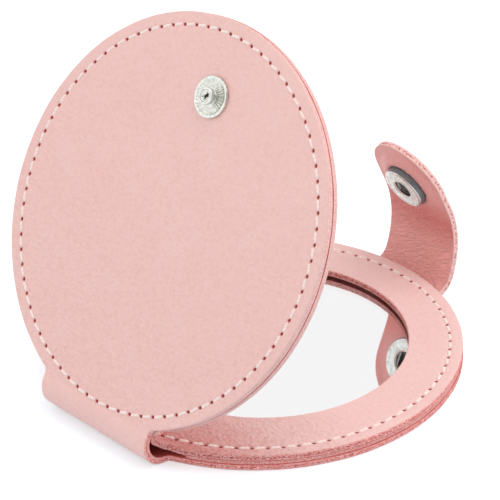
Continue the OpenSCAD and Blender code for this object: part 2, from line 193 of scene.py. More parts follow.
def measures():
    """All sizes in millimetres and radians, with those that follow from them."""
    scene = bpy.context.scene
    m = SimpleNamespace()
    for group in (scene.compact_discs, scene.compact_seams, scene.compact_strap, scene.compact_snap):
        for key in group.__annotations__:
            value = getattr(group, key)
            is_length = group.bl_rna.properties[key].subtype == "DISTANCE"
            setattr(m, key, round(value * 1000, 5) if is_length else value)
    m.r, m.t, m.half, m.strap_half = m.disc / 2, m.leather, m.bridge / 2, m.width / 2
    m.axis = np.array(hinge_at["lid_fold"][1:]) * 1000
    m.glass_top = m.t - m.pocket + BEHIND_GLASS + m.glass_thickness
    m.glass_fit = m.glass / 2 + POCKET_PLAY
    m.base_h = m.glass_top + m.t
    m.seam_r = m.r - m.inset
    m.neck_y = math.sqrt((m.r + m.bridge_fillet) ** 2 - (m.half + m.bridge_fillet) ** 2)
    m.strap_y = math.sqrt((m.r + m.fillet) ** 2 - (m.strap_half + m.fillet) ** 2)

    lid_t, lean = 2 * m.t, m.opening
    corner = m.axis[0] + lid_t * math.sin(lean) + (m.axis[1] + lid_t * math.cos(lean)) / math.tan(lean)
    m.fold_r = (corner - m.neck_y) * math.tan(lean / 2)
    land = m.axis[0] - m.neck_y - m.crease_land
    m.crease = m.axis + land * np.array([-math.cos(lean), math.sin(lean)]) \
        - m.crease_radius * np.array([math.sin(lean), math.cos(lean)])
    top = m.crease + m.crease_radius * np.array([math.sin(m.lift), -math.cos(m.lift)])
    rise = (top[1] - m.base_h - m.lift_radius * (1 - math.cos(m.lift))) / math.sin(m.lift)
    m.lift_y = top[0] - rise * math.cos(m.lift) - m.lift_radius * math.sin(m.lift)
    m.outer_bend = ("base", "lid", (0, m.neck_y, 1.4), (0, m.neck_y, OUTER_BEND_TOP))
    m.lining_bend = ("base", "lid", (0, m.neck_y, m.base_h), (0, m.neck_y, LINING_BEND_TOP))

    m.root_length = m.root_radius * (math.pi / 2 - m.root_lean)
    m.curve_length = m.belly_radius * (m.root_lean + m.tab_lean)
    m.root_c = np.array([-m.strap_y, m.t + m.root_radius])
    m.belly_c = m.root_c + (m.belly_radius - m.root_radius) * np.array([math.cos(m.root_lean), math.sin(m.root_lean)])
    m.tab_along = np.array([math.sin(m.tab_lean), math.cos(m.tab_lean)])
    m.tab_inward = np.array([math.cos(m.tab_lean), -math.sin(m.tab_lean)])
    m.snap_at = m.belly_c - m.belly_radius * m.tab_inward + m.tab_lead * m.tab_along
    m.stud_y = m.stud_inset - m.r
    return m


# Shared shape functions


def smooth(t):
    """0 below 0, 1 above 1, and three t squared less two t cubed in between."""
    t = np.clip(t, 0, 1)
    return t * t * (3 - 2 * t)


def waves(points, size, seed, count=14):
    """Sum of plane cosine waves about size long, in seeded directions and phases, mostly between -1 and 1."""
    rng = np.random.default_rng(seed)
    ways = rng.normal(size=(count, points.shape[-1]))
    ways /= np.linalg.norm(ways, axis=1, keepdims=True)
    ways *= (2 * np.pi / size * rng.uniform(0.65, 1.5, count))[:, None]
    return np.cos(points @ ways.T + rng.uniform(0, 2 * np.pi, count)).sum(-1) / math.sqrt(count)


def grid_quads(rows, columns, wrap_rows=False, wrap_columns=False):
    """Corner numbers of the squares between neighbouring rows and columns of a grid."""
    i = np.arange(rows if wrap_rows else rows - 1)[:, None]
    j = np.arange(columns if wrap_columns else columns - 1)[None, :]
    a, b = (i + 1) % rows, (j + 1) % columns
    return np.stack([i * columns + j, a * columns + j, a * columns + b, i * columns + b], -1).reshape(-1, 4)


def closed_mesh(name, points, quads, marks=None, caps=(), uv=None, sharp=40):
    """A closed mesh of points in millimetres. Points that coincide are welded, collapsed corners are dropped, and all
    faces are turned over if the volume that they enclose comes out negative."""
    points = points.reshape(-1, 3)
    welded = np.round(points * 1e5).astype(np.int64)
    _, first, back = np.unique(welded, axis=0, return_index=True, return_inverse=True)
    back = back.reshape(-1)
    corners = back[quads]
    keep = corners != np.roll(corners, 1, axis=1)
    full = keep.sum(1) > 2
    keep, corners = keep[full], corners[full]
    loops, totals = [corners[keep]], [keep.sum(1)]
    for cap in caps:
        ring = back[cap]
        ring = ring[ring != np.roll(ring, 1)]
        loops.append(ring)
        totals.append([len(ring)])
    loops, totals = np.concatenate(loops), np.concatenate(totals)
    starts = np.concatenate([[0], np.cumsum(totals)[:-1]])
    verts = points[first]

    owner = np.repeat(np.arange(len(totals)), totals)
    after = np.arange(len(loops)) + 1
    after[starts + totals - 1] = starts
    anchor = verts[loops[starts]][owner]
    volume = np.einsum("ij,ij->i", anchor, np.cross(verts[loops], verts[loops[after]])).sum()
    order = np.arange(len(loops))
    if volume < 0:
        order = (starts + totals - 1)[owner] - (order - starts[owner])
        loops = loops[order]

    mesh = bpy.data.meshes.new(name)
    mesh.vertices.add(len(verts))
    mesh.vertices.foreach_set("co", (verts / 1000).astype(np.float32).ravel())
    mesh.loops.add(len(loops))
    mesh.loops.foreach_set("vertex_index", loops.astype(np.int32))
    mesh.polygons.add(len(totals))
    mesh.polygons.foreach_set("loop_start", starts.astype(np.int32))
    mesh.update(calc_edges=True)
    mesh.polygons.foreach_set("use_smooth", np.ones(len(totals), bool))
    mesh.set_sharp_from_angle(angle=math.radians(sharp))
    for key, values in (marks or {}).items():
        layer = mesh.attributes.new(key, "FLOAT", "POINT")
        layer.data.foreach_set("value", values.reshape(-1)[first].astype(np.float32))
    layer = mesh.attributes.new("place", "FLOAT_VECTOR", "POINT")
    layer.data.foreach_set("vector", verts.astype(np.float32).ravel())
    if uv is not None:
        values = np.zeros((len(loops), 2), np.float32)
        values[:keep.sum()] = uv[full][keep]
        mesh.uv_layers.new(name="lay").data.foreach_set("uv", values[order].ravel())
    return mesh


def add_piece(name, shape, finish_name, slot, *nodes, body=None, bend=None, sharp=40):
    """Makes a piece of a shape, with its finish and the CAD nodes that it stands for, and parents it to the body it
    rides with. Given a bend (two bodies, start and end), it bakes the piece's place into its points instead and reads
    nothing more of the bend. slot names its material slot and is not used."""
    piece = bpy.data.objects.new(name, closed_mesh(name, sharp=sharp, **shape))
    bpy.context.scene.collection.objects.link(piece)
    piece.data.materials.append(finish(finish_name))
    if nodes:
        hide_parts(*nodes)
    if bend:
        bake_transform(piece)
    else:
        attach(piece, body)


def refinish(node, finish_name):
    """Gives a CAD node, which keeps its shape, another finish."""
    materials = frame["nodes"][node].data.materials
    materials.clear()
    materials.append(finish(finish_name))


def on_lid(points, m, seat=(0, 0, 0)):
    """Points of the lid, given from a seat where it is when the lid lies flat with its inner face on Z = 0, at their
    open place."""
    points = points + np.array(seat)
    c, s = math.cos(m.opening), math.sin(m.opening)
    y, z = points[..., 1] - m.axis[0], points[..., 2]
    return np.stack([points[..., 0], m.axis[0] + c * y + s * z, m.axis[1] - s * y + c * z], -1)


def on_tab(points, m):
    """Points of the snap, given with +Z out of the strap's inner face and +Y towards the tip, at their place."""
    place = m.snap_at + points[..., 1:2] * m.tab_along + points[..., 2:3] * m.tab_inward
    return np.concatenate([-points[..., 0:1], place], -1)


def moved(shape, rule, *given):
    """The same shape with its points carried to another place by a rule."""
    return {**shape, "points": rule(shape["points"], *given)}


# Cut edges

# Points on each rounded corner of a cut edge, and how far its fibres stand back
CORNER_POINTS = 6
FIBRE = 0.03


def middle_line(depth, thick):
    """1 halfway through the leather and 0 at both of its faces, as a bell."""
    return np.exp(-((depth / thick - 0.5) / 0.17) ** 2)


def edge_profile(thick, round_from, round_to, wall):
    """Section of a cut edge: a quarter circle, wall points and a quarter circle. Returns how far in from the outline
    and how deep in the leather each point lies, and how much of it is cut edge."""
    a = np.linspace(0, np.pi / 2, CORNER_POINTS)
    inset = np.concatenate([round_from * (1 - np.sin(a)), np.zeros(wall), round_to * (1 - np.sin(a[::-1]))])
    straight = np.linspace(round_from, thick - round_to, wall + 2)[1:-1]
    depth = np.concatenate([round_from * (1 - np.cos(a)), straight, thick - round_to * (1 - np.cos(a[::-1]))])
    soft = smooth((a - 0.35) / 0.9)
    return inset, depth, np.concatenate([soft, np.ones(wall), soft[::-1]])


def fibres(points, share, seed, fuzz=FIBRE, long_waves=0.5):
    """How far the fibres of a cut edge stand back: waves of 0.5 and 1.3 mm, between nothing and four times fuzz."""
    push = 0.6 + 0.6 * waves(points, 0.5, 40 + seed) + long_waves * waves(points, 1.3, 41)
    return np.clip(fuzz * share * push, 0, 4 * fuzz)


# Discs of leather

# Relief of a seam: depth of its trough, of a needle hole and height of the swelling beside them, the trough's half
# width, the swelling's distance and half width, and the turn and the flatness of a needle hole
TROUGH, PIT, SWELLING = 0.1, 0.36, 0.018
TROUGH_WIDTH, SWELLING_AT, SWELLING_WIDTH = 0.4, 1.0, 0.42
HOLE_TURN, HOLE_FLATNESS = math.radians(24), 0.85

# Columns of one stitch, in millimetres along the seam from its needle hole, and rings across the seam
STITCH_COLUMNS = np.array([-0.42, -0.28, -0.14, 0, 0.14, 0.28, 0.42, 0.8, 1.49, 2.18])
SEAM_STEPS = (-1.35, -0.95, -0.66, -0.48, -0.34, -0.2, -0.07, 0.07, 0.2, 0.34, 0.48, 0.66, 0.95, 1.35, 1.8)

# Columns of a disc without a seam, and of a fillet
PLAIN_COLUMNS = 360
FILLET_COLUMNS = 9

# Radii of a disc's rings inside its seam, on the good side and on the back
FACE_RINGS, BACK_RINGS = (0, 9, 18, 26, 32, 35), (34, 17, 0)

# Marks of a leather surface
MARKS = ("edge", "line", "glue", "hole", "back")


def seam_relief(x, y, m):
    """How deep the leather is pressed in at a point of a seam side, and how much of a needle hole is there.
    A soft trough follows the seam's circle, with a pit of the hole's size where two stitches meet and a low swelling
    on both sides."""
    step = 2 * np.pi / m.count
    off = np.hypot(x, y) - m.seam_r
    stitch = (np.arctan2(y, x) + np.pi / 2) / step - 0.5
    along = (stitch - np.round(stitch)) * step * m.seam_r
    u = along * math.cos(HOLE_TURN) + off * math.sin(HOLE_TURN)
    v = off * math.cos(HOLE_TURN) - along * math.sin(HOLE_TURN)
    far = np.hypot(u / (m.hole / 2), v / (m.hole / 2 * HOLE_FLATNESS))
    hole = 1 - smooth((far - 0.6) / 0.6)
    trough = np.exp(-(off / TROUGH_WIDTH) ** 2) * (0.75 + 0.25 * np.cos(2 * np.pi * along / (step * m.seam_r)))
    swelling = np.exp(-((np.abs(off) - SWELLING_AT) / SWELLING_WIDTH) ** 2)
    return TROUGH * trough + PIT * hole - SWELLING * swelling, hole


def half_turn(angles):
    """The same angles between -pi and pi."""
    return np.mod(angles + np.pi, 2 * np.pi) - np.pi


def disc_columns(m, fold_cut, strap=False, fine=True, wobble=0.05, seed=1):
    """Points round a disc's outline with their outward directions. The radius is the disc's, up to the fillet of the
    bridge or the strap, then the fillet's near side, then the straight cut. Free points keep their rounded edge. The
    outline wanders inwards by up to wobble, except beside a cut."""
    if fine:
        step = 2 * np.pi / m.count
        angles = (((np.arange(m.count) + 0.5) * step - np.pi / 2)[:, None] + STITCH_COLUMNS / m.seam_r).ravel()
    else:
        angles = np.linspace(0, 2 * np.pi, PLAIN_COLUMNS, endpoint=False)
    tongues = [(1, m.half, m.bridge_fillet, fold_cut, m.neck_y)]
    if strap:
        tongues.append((-1, m.strap_half, m.fillet, m.strap_y, m.strap_y))
    extra = []
    for side, half, fillet, cut, neck in tongues:
        if cut < neck - 1e-3:
            found = [math.acos(cut / m.r)]
        else:
            found = np.linspace(math.atan2(half, neck), math.atan2(half + fillet, neck), FILLET_COLUMNS)
        for a in found:
            extra += [side * math.pi / 2 - a, side * math.pi / 2 + a]
    angles, extra = half_turn(angles), half_turn(np.array(extra))
    near = np.abs(angles[:, None] - extra[None, :]).min(1) < 2e-3
    angles = np.sort(np.concatenate([angles[~near], extra]))

    way = np.stack([np.cos(angles), np.sin(angles)], -1)
    radius, normal, free = np.full(len(angles), m.r), way.copy(), np.ones(len(angles), bool)
    calm = np.ones(len(angles))
    for side, half, fillet, cut, neck in tongues:
        u = np.stack([np.abs(way[:, 0]), side * way[:, 1]], -1)
        lean = np.arctan2(u[:, 0], u[:, 1])
        if cut < neck - 1e-3:
            corner = math.acos(cut / m.r)
        else:
            centre = np.array([half + fillet, neck])
            corner = math.atan2(half, neck)
            on = (lean <= math.atan2(centre[0], centre[1]) + 1e-9) & (lean > corner - 1e-9)
            b = u @ centre
            hit = b - np.sqrt(np.maximum(b * b - centre @ centre + fillet ** 2, 0))
            radius = np.where(on, hit, radius)
            away = (centre - u * hit[:, None]) / fillet
            normal[on] = np.stack([away[:, 0] * np.sign(way[:, 0]), away[:, 1] * side], -1)[on]
        on = lean < corner - 1e-7
        radius = np.where(on, cut / np.maximum(u[:, 1], 1e-6), radius)
        normal[on] = [0, side]
        free &= ~on
        calm *= smooth((np.abs(half_turn(angles - side * np.pi / 2)) * m.r - half) / 6)
    point = way * radius[:, None]
    shift = wobble * calm * (0.5 + 0.5 * np.clip(waves(point, 14, seed), -1, 1))
    point = point - normal * shift[:, None]
    return SimpleNamespace(way=way, point=point, normal=normal, free=free, radius=np.hypot(*point.T), seed=seed)


def inset_ring(columns, inset, z):
    """A ring inside the outline by inset, except at a cut line, where it stays on it."""
    flat = columns.point - columns.normal * (inset * columns.free)[:, None]
    return np.column_stack([flat, np.full(len(flat), z)])


def circle_ring(columns, centre_y, radius, z):
    """A ring of the given radius about a centre on the Y axis, one point for each column."""
    flat = columns.way * radius
    return np.column_stack([flat[:, 0], flat[:, 1] + centre_y, np.full(len(flat), z)])


def edge_rings(columns, z_from, z_to, round_from, round_to, fuzz=FIBRE, wall=8):
    """Rings down a cut edge: a quarter circle, the wall and a quarter circle, which is cut edge too. On a cut line
    they fold into a plain corner. Returns positions and marks, ring by ring."""
    sign = 1 if z_to > z_from else -1
    thick = abs(z_to - z_from)
    inset, depth, edge = edge_profile(thick, round_from, round_to, wall)
    edge[-CORNER_POINTS:] = 1
    free = columns.free.astype(float)
    rings = []
    for d, o, e in zip(inset, depth, edge):
        o_here = np.where(columns.free, o, 0 if o < thick / 2 else thick)
        place = np.column_stack([columns.point - columns.normal * (d * free)[:, None], z_from + sign * o_here])
        place[:, :2] -= columns.normal * fibres(place, e * free, columns.seed, fuzz)[:, None]
        rings.append(place)
    glue = smooth((depth - thick + round_to * 1.6) / (round_to * 1.1))
    return rings, {"edge": np.outer(edge, free), "line": np.outer(edge * middle_line(depth, thick), free),
                   "glue": np.outer(glue, free), "back": np.outer(depth >= thick / 2, 1 - free)}


def seam_rings(columns, m, z, into):
    """Flat rings across the seam, pressed in by seam_relief, and squeezed together where the outline cuts them off."""
    rings, holes = [], []
    for k, off in enumerate(SEAM_STEPS):
        limit = columns.radius - m.round_grain - 0.012 * (len(SEAM_STEPS) - k)
        flat = columns.way * np.minimum(m.seam_r + off, limit)[:, None]
        depth, hole = seam_relief(flat[:, 0], flat[:, 1], m)
        rings.append(np.column_stack([flat, z + into * depth]))
        holes.append(hole)
    return rings, {"hole": holes}


def stack(parts, closed=False):
    """Joins lists of (rings, marks) into one grid with its marks, 0 where a mark is missing. The last ring of a closed
    grid meets the first."""
    points, marks = [], {key: [] for key in MARKS}
    for rings, found in parts:
        points += rings
        for key in MARKS:
            marks[key].extend(found.get(key, np.zeros((len(rings), len(rings[0])))))
    points = np.array(points)
    return {"points": points, "quads": grid_quads(*points.shape[:2], wrap_rows=closed, wrap_columns=True),
            "marks": {key: np.array(values) for key, values in marks.items()}}


def backs(columns, rings):
    """Rings that are all on the leather's back, with their marks."""
    return rings, {"back": np.ones((len(rings), len(columns.way)))}


def solid_plate(columns, m, grain, flesh, pocket=None):
    """A disc of leather with a seam on its good side: rings from the middle of that side out over the seam, round the
    cut edge and back to the middle of the other side, which may hold a round pocket of (centre, radius, height)."""
    inner = [inset_ring(columns, d, flesh) for d in (m.round_flesh + 0.12, 0.9)]
    if pocket:
        centre, radius, floor = pocket
        inner += [circle_ring(columns, centre, r, z) for r, z in
                  ((radius + 1, flesh), (radius, flesh), (radius, floor), (radius / 2, floor), (0, floor))]
    else:
        inner += [circle_ring(columns, 0, r, flesh) for r in BACK_RINGS]
    return stack([([circle_ring(columns, 0, r, grain) for r in FACE_RINGS], {}),
                  seam_rings(columns, m, grain, 1 if flesh > grain else -1),
                  edge_rings(columns, grain, flesh, m.round_grain, m.round_flesh), backs(columns, inner)])


def ring_plate(columns, m, grain, flesh, centre, radius):
    """A ring of leather with a seam: rings up the window's edge, out over the seam, round the cut edge and back in
    under the window. The last ring meets the first."""
    count = len(columns.way)
    hole = SimpleNamespace(point=columns.way * radius + [0, centre], normal=-columns.way, free=np.ones(count, bool),
                           seed=columns.seed + 5)
    inner, inner_marks = edge_rings(hole, flesh, grain, m.round_flesh, m.round_grain, fuzz=0.02)
    inner_marks["edge"] = inner_marks["edge"][::-1]
    inner_marks["glue"] = np.outer(np.arange(len(inner)) < 4, np.ones(count))
    face = [circle_ring(columns, centre * (1 - k), radius + 0.7 + k * 5.4, grain) for k in (0, 0.3, 0.65)]
    under = [inset_ring(columns, m.round_flesh + 0.12, flesh), circle_ring(columns, centre, radius + 2.4, flesh),
             circle_ring(columns, centre, radius + m.round_flesh + 0.1, flesh)]
    return stack([(inner, inner_marks), (face, {}), seam_rings(columns, m, grain, 1 if flesh > grain else -1),
                  edge_rings(columns, grain, flesh, m.round_grain, m.round_flesh), backs(columns, under)], closed=True)


# Strips of leather

# Columns on each face of the strap, the fold's outer leather and its lining
STRAP_COLUMNS, FOLD_COLUMNS, LINING_COLUMNS = 73, 61, 201

# Points on the straight wall of a strip's cut edge
STRIP_WALL = 6

# Shares of the root's arc where the root piece and the link end, how far the curve goes on past the upright, and the
# distance between two loops of a strap piece
ROOT_END, LINK_END = 0.35, 0.62
PAST_UPRIGHT = math.radians(2)
LOOP_STEP = 0.12

# The bodies that the strap's two bending pieces join, and where their bends start and end
ROOT_BEND = ("base", "strap_lower", (0, -40.2, 0.7), (0, -41.4, 0.7))
CURVE_BEND = ("strap_lower", "strap_end", (0, -43, 2.3), (0, -43, 11.4))

# Rows and columns on each face of the tab, height of the welt round the socket, and depth of the dent round the cap
TAB_ROWS, TAB_COLUMNS = 70, 61
WELT, CAP_DENT = 0.75, 0.12


def strip(path, out, thick, half_width, count, round_in, round_out, dent=None, seed=3, back_in=True):
    """A strip of leather along a path in Y and Z. path is its inner face, out the unit direction to its outer face,
    and half_width gives half its width at a height Y. At each station a loop goes over the inner face, round one edge,
    back over the outer face and round the other edge. dent gives how deep the inner face is pressed in at X, Y and Z,
    and how much of a needle hole is there. back_in says that the inner face is the leather's back."""
    across = np.linspace(-1, 1, count)
    x_inset, depth, edge = edge_profile(thick, round_in, round_out, STRIP_WALL)
    wall, none = np.ones(len(depth)), np.zeros(count)
    share = np.concatenate([across, wall, across[::-1], -wall])
    inset = np.concatenate([none + round_in, x_inset, none + round_out, x_inset[::-1]])
    o = np.concatenate([none, depth, none + thick, depth[::-1]])
    mark = np.concatenate([none, edge, none, edge[::-1]])
    back = np.concatenate([none + back_in, 0 * wall, none + (not back_in), 0 * wall])
    flat = path[:, None, :] + out[:, None, :] * o[None, :, None]
    x = share * (half_width(flat[..., 0]) - inset)
    hole, deep = np.zeros(x.shape), np.zeros(x.shape)
    if dent:
        deep[:, :count], hole[:, :count] = dent(x[:, :count], flat[:, :count, 0], flat[:, :count, 1])
    flat = flat + out[:, None, :] * deep[..., None]
    points = np.concatenate([x[..., None], flat], -1)
    points[..., 0] -= np.sign(share) * fibres(points, mark, seed) * (np.abs(share) > 0.999)
    rows, columns = x.shape
    numbers = np.arange(rows * columns).reshape(rows, columns)
    marks = {"edge": np.tile(mark, (rows, 1)), "line": np.tile(mark * middle_line(o, thick), (rows, 1)),
             "glue": np.zeros(x.shape), "hole": hole, "back": np.tile(back, (rows, 1))}
    return {"points": points, "quads": grid_quads(rows, columns, wrap_columns=True), "marks": marks,
            "caps": [numbers[0], numbers[-1]]}


def arc(centre, radius, start, stop, step=1.5):
    """Stations round a bend, in Y and Z: points at the radius from the centre, and the outward directions."""
    a = np.radians(np.linspace(start, stop, max(3, int(abs(stop - start) / step) + 1)))
    out = np.stack([np.cos(a), np.sin(a)], -1)
    return np.asarray(centre) + radius * out, out


def strap_place(m, s):
    """The strap's inner face at distances s from the base, and the directions out of it: the root's arc, the long
    curve's arc and the straight tab."""
    s = np.asarray(s, float)
    a = np.clip(s, 0, m.root_length) / m.root_radius
    past = s - m.root_length
    lean = np.clip(past / m.belly_radius, 0, m.curve_length / m.belly_radius) - m.root_lean
    rest = np.maximum(past - m.curve_length, 0)
    on_root = (past < 0)[..., None]
    out = np.where(on_root, np.stack([-np.sin(a), -np.cos(a)], -1), np.stack([-np.cos(lean), np.sin(lean)], -1))
    place = np.where(on_root, m.root_c + m.root_radius * out, m.belly_c + m.belly_radius * out)
    return place + rest[..., None] * m.tab_along, out


def strap_wrinkles(x, s, m):
    """Depth of the fine creases on the strap's inner face. They are waves that run about 3 mm aslant across the strap
    and follow each other every 0.8 mm or so, strongest on the lower half of the long curve and gone at the tab."""
    slant = 0.46
    lay = np.stack([(x - slant * s) * 0.24, (s + slant * x) / 1.1], -1)
    where = smooth((s - 1.5) / 3) * (1 - smooth((s - 10) / 7))
    edge = smooth((m.strap_half - np.abs(x)) / 1.5)
    folds = np.maximum(waves(lay, 0.7, 11, 24), 0) * 0.035 + np.maximum(waves(lay, 2.2, 12, 12), 0) * 0.015
    return where * (0.35 + 0.65 * edge) * folds


def tab_shape(m, start):
    """The flat end: two faces and the edge between them. A face's columns are sines of an even spread across the
    strap, and its rows bow out from a straight line at the start to a half circle at the tip. The leather swells in a
    low welt round the clenched socket and is pressed in round the cap."""
    socket_at = m.root_length + m.curve_length + m.tab_lead - start
    centre = socket_at + m.tab_tip - m.strap_half
    v = np.linspace(0, centre, TAB_ROWS)
    u = np.linspace(-np.pi / 2, np.pi / 2, TAB_COLUMNS)

    def place(x, s, o):
        spot, out = strap_place(m, s + start)
        return np.concatenate([x[..., None], spot + out * o[..., None]], -1)

    def face(inset, inner):
        half = m.strap_half - inset
        x = half * np.sin(u)[None, :] + 0 * v[:, None]
        s = v[:, None] + ((v / centre) ** 2)[:, None] * half * np.cos(u)[None, :]
        far = np.hypot(x, s - socket_at)
        beside = far - m.socket / 2
        welt = WELT * (1 - smooth((beside - 0.5) / 3)) * smooth((beside + 0.15) / 0.45)
        dent = CAP_DENT * np.exp(-((far - m.cap / 2) / 0.6) ** 2)
        return place(x, s, strap_wrinkles(x, s + start, m) - welt if inner else m.t - dent).reshape(-1, 3)

    inset, depth, mark = edge_profile(m.t, m.round_flesh, m.round_grain, STRIP_WALL)
    side = np.full(TAB_ROWS - 1, np.pi / 2)
    round_tip = np.concatenate([-side, u, side])
    way = np.stack([np.sin(round_tip), np.cos(round_tip)], -1)
    base = np.stack([0 * round_tip, np.concatenate([v[:-1], np.full(TAB_COLUMNS, centre), v[-2::-1]])], -1)
    rim = base[None] + way[None] * (m.strap_half - inset)[:, None, None]
    o = depth[:, None] + 0 * rim[..., 0]
    push = fibres(np.concatenate([rim, o[..., None]], -1), mark[:, None], 9, long_waves=0)
    rim = rim - way[None] * push[..., None]
    rim = place(rim[..., 0], rim[..., 1], o)

    numbers = np.arange(TAB_ROWS * TAB_COLUMNS).reshape(TAB_ROWS, TAB_COLUMNS)
    border = np.concatenate([numbers[:-1, 0], numbers[-1], numbers[-2::-1, -1]])
    inner, outer = face(m.round_flesh, True), face(m.round_grain, False)
    rim[0], rim[-1] = inner[border], outer[border]
    on_face, (rings, wide) = len(inner), rim.shape[:2]
    on_rim = on_face + np.arange(rings * wide).reshape(rings, wide)
    outer_at = on_face + rings * wide
    flat = grid_quads(TAB_ROWS, TAB_COLUMNS)

    def along_rim(values):
        return np.concatenate([np.zeros(on_face), np.repeat(values, wide), np.zeros(on_face)])

    none = along_rim(0 * mark)
    marks = {"edge": along_rim(mark), "line": along_rim(mark * middle_line(depth, m.t)), "glue": none, "hole": none,
             "back": 1.0 * (np.arange(len(none)) < on_face)}
    return {"points": np.concatenate([inner, rim.reshape(-1, 3), outer]), "marks": marks,
            "quads": np.concatenate([flat[:, ::-1], grid_quads(rings, wide) + on_face, flat + outer_at]),
            "caps": [np.concatenate([numbers[0], on_rim[1:-1, -1], outer_at + numbers[0, ::-1], on_rim[-2:0:-1, 0]])]}


# Stitches

# Places of a stitch's rings from one hole to the next, and points round the thread
STITCH_AT = np.array([0, 0.05, 0.11, 0.2, 0.36, 0.64, 0.8, 0.89, 0.95, 1.0])
STITCH_ROUND = 6

# Share of its length in which a stitch rises, how deep it dives, how flat the thread is pulled, and how much a
# stitch's lean, place and height vary
STITCH_RISE, STITCH_DIVE, STITCH_FLATNESS = 0.17, 0.4, 0.8
LEAN_VARIES, PLACE_VARIES, HEIGHT_VARIES = 0.35, 0.03, 0.015


def stitch_ring(m, keep, height, seed, proud, swell=1.0):
    """Stitches of one ring, those at the angles that keep says: each is a tube whose middle line leaves one needle
    hole, runs just above the leather with a slight slant and dives into the next, with its cross section pressed flat.
    height gives Z from the height above the leather and Y."""
    rng = np.random.default_rng(seed)
    step = 2 * np.pi / m.count
    mid = np.arange(m.count) * step - np.pi / 2
    mid = mid[keep(mid)]
    t = STITCH_AT
    around = np.linspace(0, 2 * np.pi, STITCH_ROUND, endpoint=False)
    rise = smooth(np.minimum(t, 1 - t) / STITCH_RISE)
    lean = m.slant * (1 + LEAN_VARIES * rng.normal(size=len(mid)))
    pull = PLACE_VARIES * rng.normal(size=len(mid))
    bulge = HEIGHT_VARIES * np.clip(rng.normal(size=(len(mid), 1)), -1.5, 1.5)
    angle = mid[:, None] + (t - 0.5) * (step - 2 * m.reach / m.seam_r)
    radius = m.seam_r + lean[:, None] * (1 - 2 * t) + pull[:, None] * rise
    half = m.thread * swell / 2
    high = -STITCH_DIVE + (STITCH_DIVE + proud - half * STITCH_FLATNESS) * rise + bulge * rise
    size = half * (0.8 + 0.2 * rise)
    r = radius[..., None] + (size[:, None] * np.cos(around))[None]
    h = high[..., None] + ((size * STITCH_FLATNESS)[:, None] * np.sin(around))[None]
    x, y = r * np.cos(angle)[..., None], r * np.sin(angle)[..., None]
    points = np.stack([x, y, height(h, y)], -1)

    rows, columns = points.shape[1:3]
    i, j = np.meshgrid(np.arange(rows - 1), np.arange(columns), indexing="ij")
    uv = np.stack([np.stack([i + a, j + b], -1) for a, b in ((0, 0), (1, 0), (1, 1), (0, 1))], -2)
    uv = uv.reshape(-1, 4, 2) / [rows - 1, columns]
    numbers = np.arange(points[..., 0].size).reshape(-1, rows, columns)
    quads = grid_quads(rows, columns, wrap_columns=True) + numbers[:, :1, :1]
    return {"points": points.reshape(-1, 3), "quads": quads.reshape(-1, 4), "uv": np.tile(uv, (len(mid), 1, 1)),
            "caps": [*numbers[:, 0], *numbers[:, -1]]}


def joined(*shapes):
    """Several shapes in one."""
    starts = np.cumsum([0] + [len(shape["points"]) for shape in shapes])
    return {"points": np.concatenate([shape["points"] for shape in shapes]),
            "quads": np.concatenate([shape["quads"] + start for shape, start in zip(shapes, starts)]),
            "uv": np.concatenate([shape["uv"] for shape in shapes]),
            "caps": [ring + start for shape, start in zip(shapes, starts) for ring in shape["caps"]]}


# Turned pieces


def lathe(profile, count, warp=None):
    """A profile of (radius, height) carried round the axis. warp may move the points, given radius, angle, height."""
    profile = np.asarray(profile, float)
    a = np.linspace(0, 2 * np.pi, count, endpoint=False)[:, None]
    r, h = profile[None, :, 0] + 0 * a, profile[None, :, 1] + 0 * a
    if warp:
        r, h = warp(r, a, h)
    return {"points": np.stack([r * np.cos(a), r * np.sin(a), h], -1),
            "quads": grid_quads(count, len(profile), wrap_rows=True, wrap_columns=True)}


def rounded(corners, steps=5):
    """A profile through (radius, height, rounding) corners. Each rounding is a quadratic curve from one side of the
    corner to the other, as far from it as the rounding says."""
    corners = np.asarray(corners, float)
    points = []
    for k, (*here, size) in enumerate(corners):
        before, after = corners[k - 1, :2] - here, corners[(k + 1) % len(corners), :2] - here
        if size == 0:
            points.append([here])
            continue
        a = here + before / np.linalg.norm(before) * min(size, np.linalg.norm(before) / 2)
        b = here + after / np.linalg.norm(after) * min(size, np.linalg.norm(after) / 2)
        t = np.linspace(0, 1, steps + 1)[:, None]
        points.append((1 - t) ** 2 * a + 2 * t * (1 - t) * np.array(here) + t * t * b)
    return np.concatenate(points)


# Operators that make the pieces


class COMPACT_OT_base_leather(bpy.types.Operator):
    """Make the base cover, the spacer and the mirror frame"""
    bl_idname = "compact.base_leather"
    bl_label = "Base Leather"

    def execute(self, context):
        m = measures()
        columns = disc_columns(m, m.neck_y, strap=True, seed=1)
        shape = solid_plate(columns, m, 0, m.t, (-m.window_shift, m.glass_fit, m.t - m.pocket))
        add_piece("base_cover_leather", shape, "leather_base", "leather_outer", "base_cover", body="base")

        columns = disc_columns(m, m.lift_y, fine=False, wobble=0.06, seed=2)
        columns.point = columns.point - columns.normal * (0.1 * columns.free)[:, None]
        rings, _ = edge_rings(columns, m.t, m.glass_top, 0.05, 0.05, fuzz=0.04, wall=4)
        inner = [circle_ring(columns, -m.window_shift, m.glass_fit, z) for z in (m.glass_top, m.t)]
        marks = {"edge": np.tile(1.0 * columns.free, (len(rings), 1)),
                 "back": np.tile(1.0 * ~columns.free, (len(rings), 1))}
        add_piece("spacer_leather", stack([(rings, marks), (inner, {})], closed=True), "leather_core",
                  "leather_inner", "spacer_ring", body="base")

        columns = disc_columns(m, m.lift_y, seed=3)
        shape = ring_plate(columns, m, m.base_h, m.glass_top, -m.window_shift, m.window / 2)
        add_piece("mirror_frame_leather", shape, "leather_frame", "leather_outer", "mirror_frame", body="base")
        return {"FINISHED"}


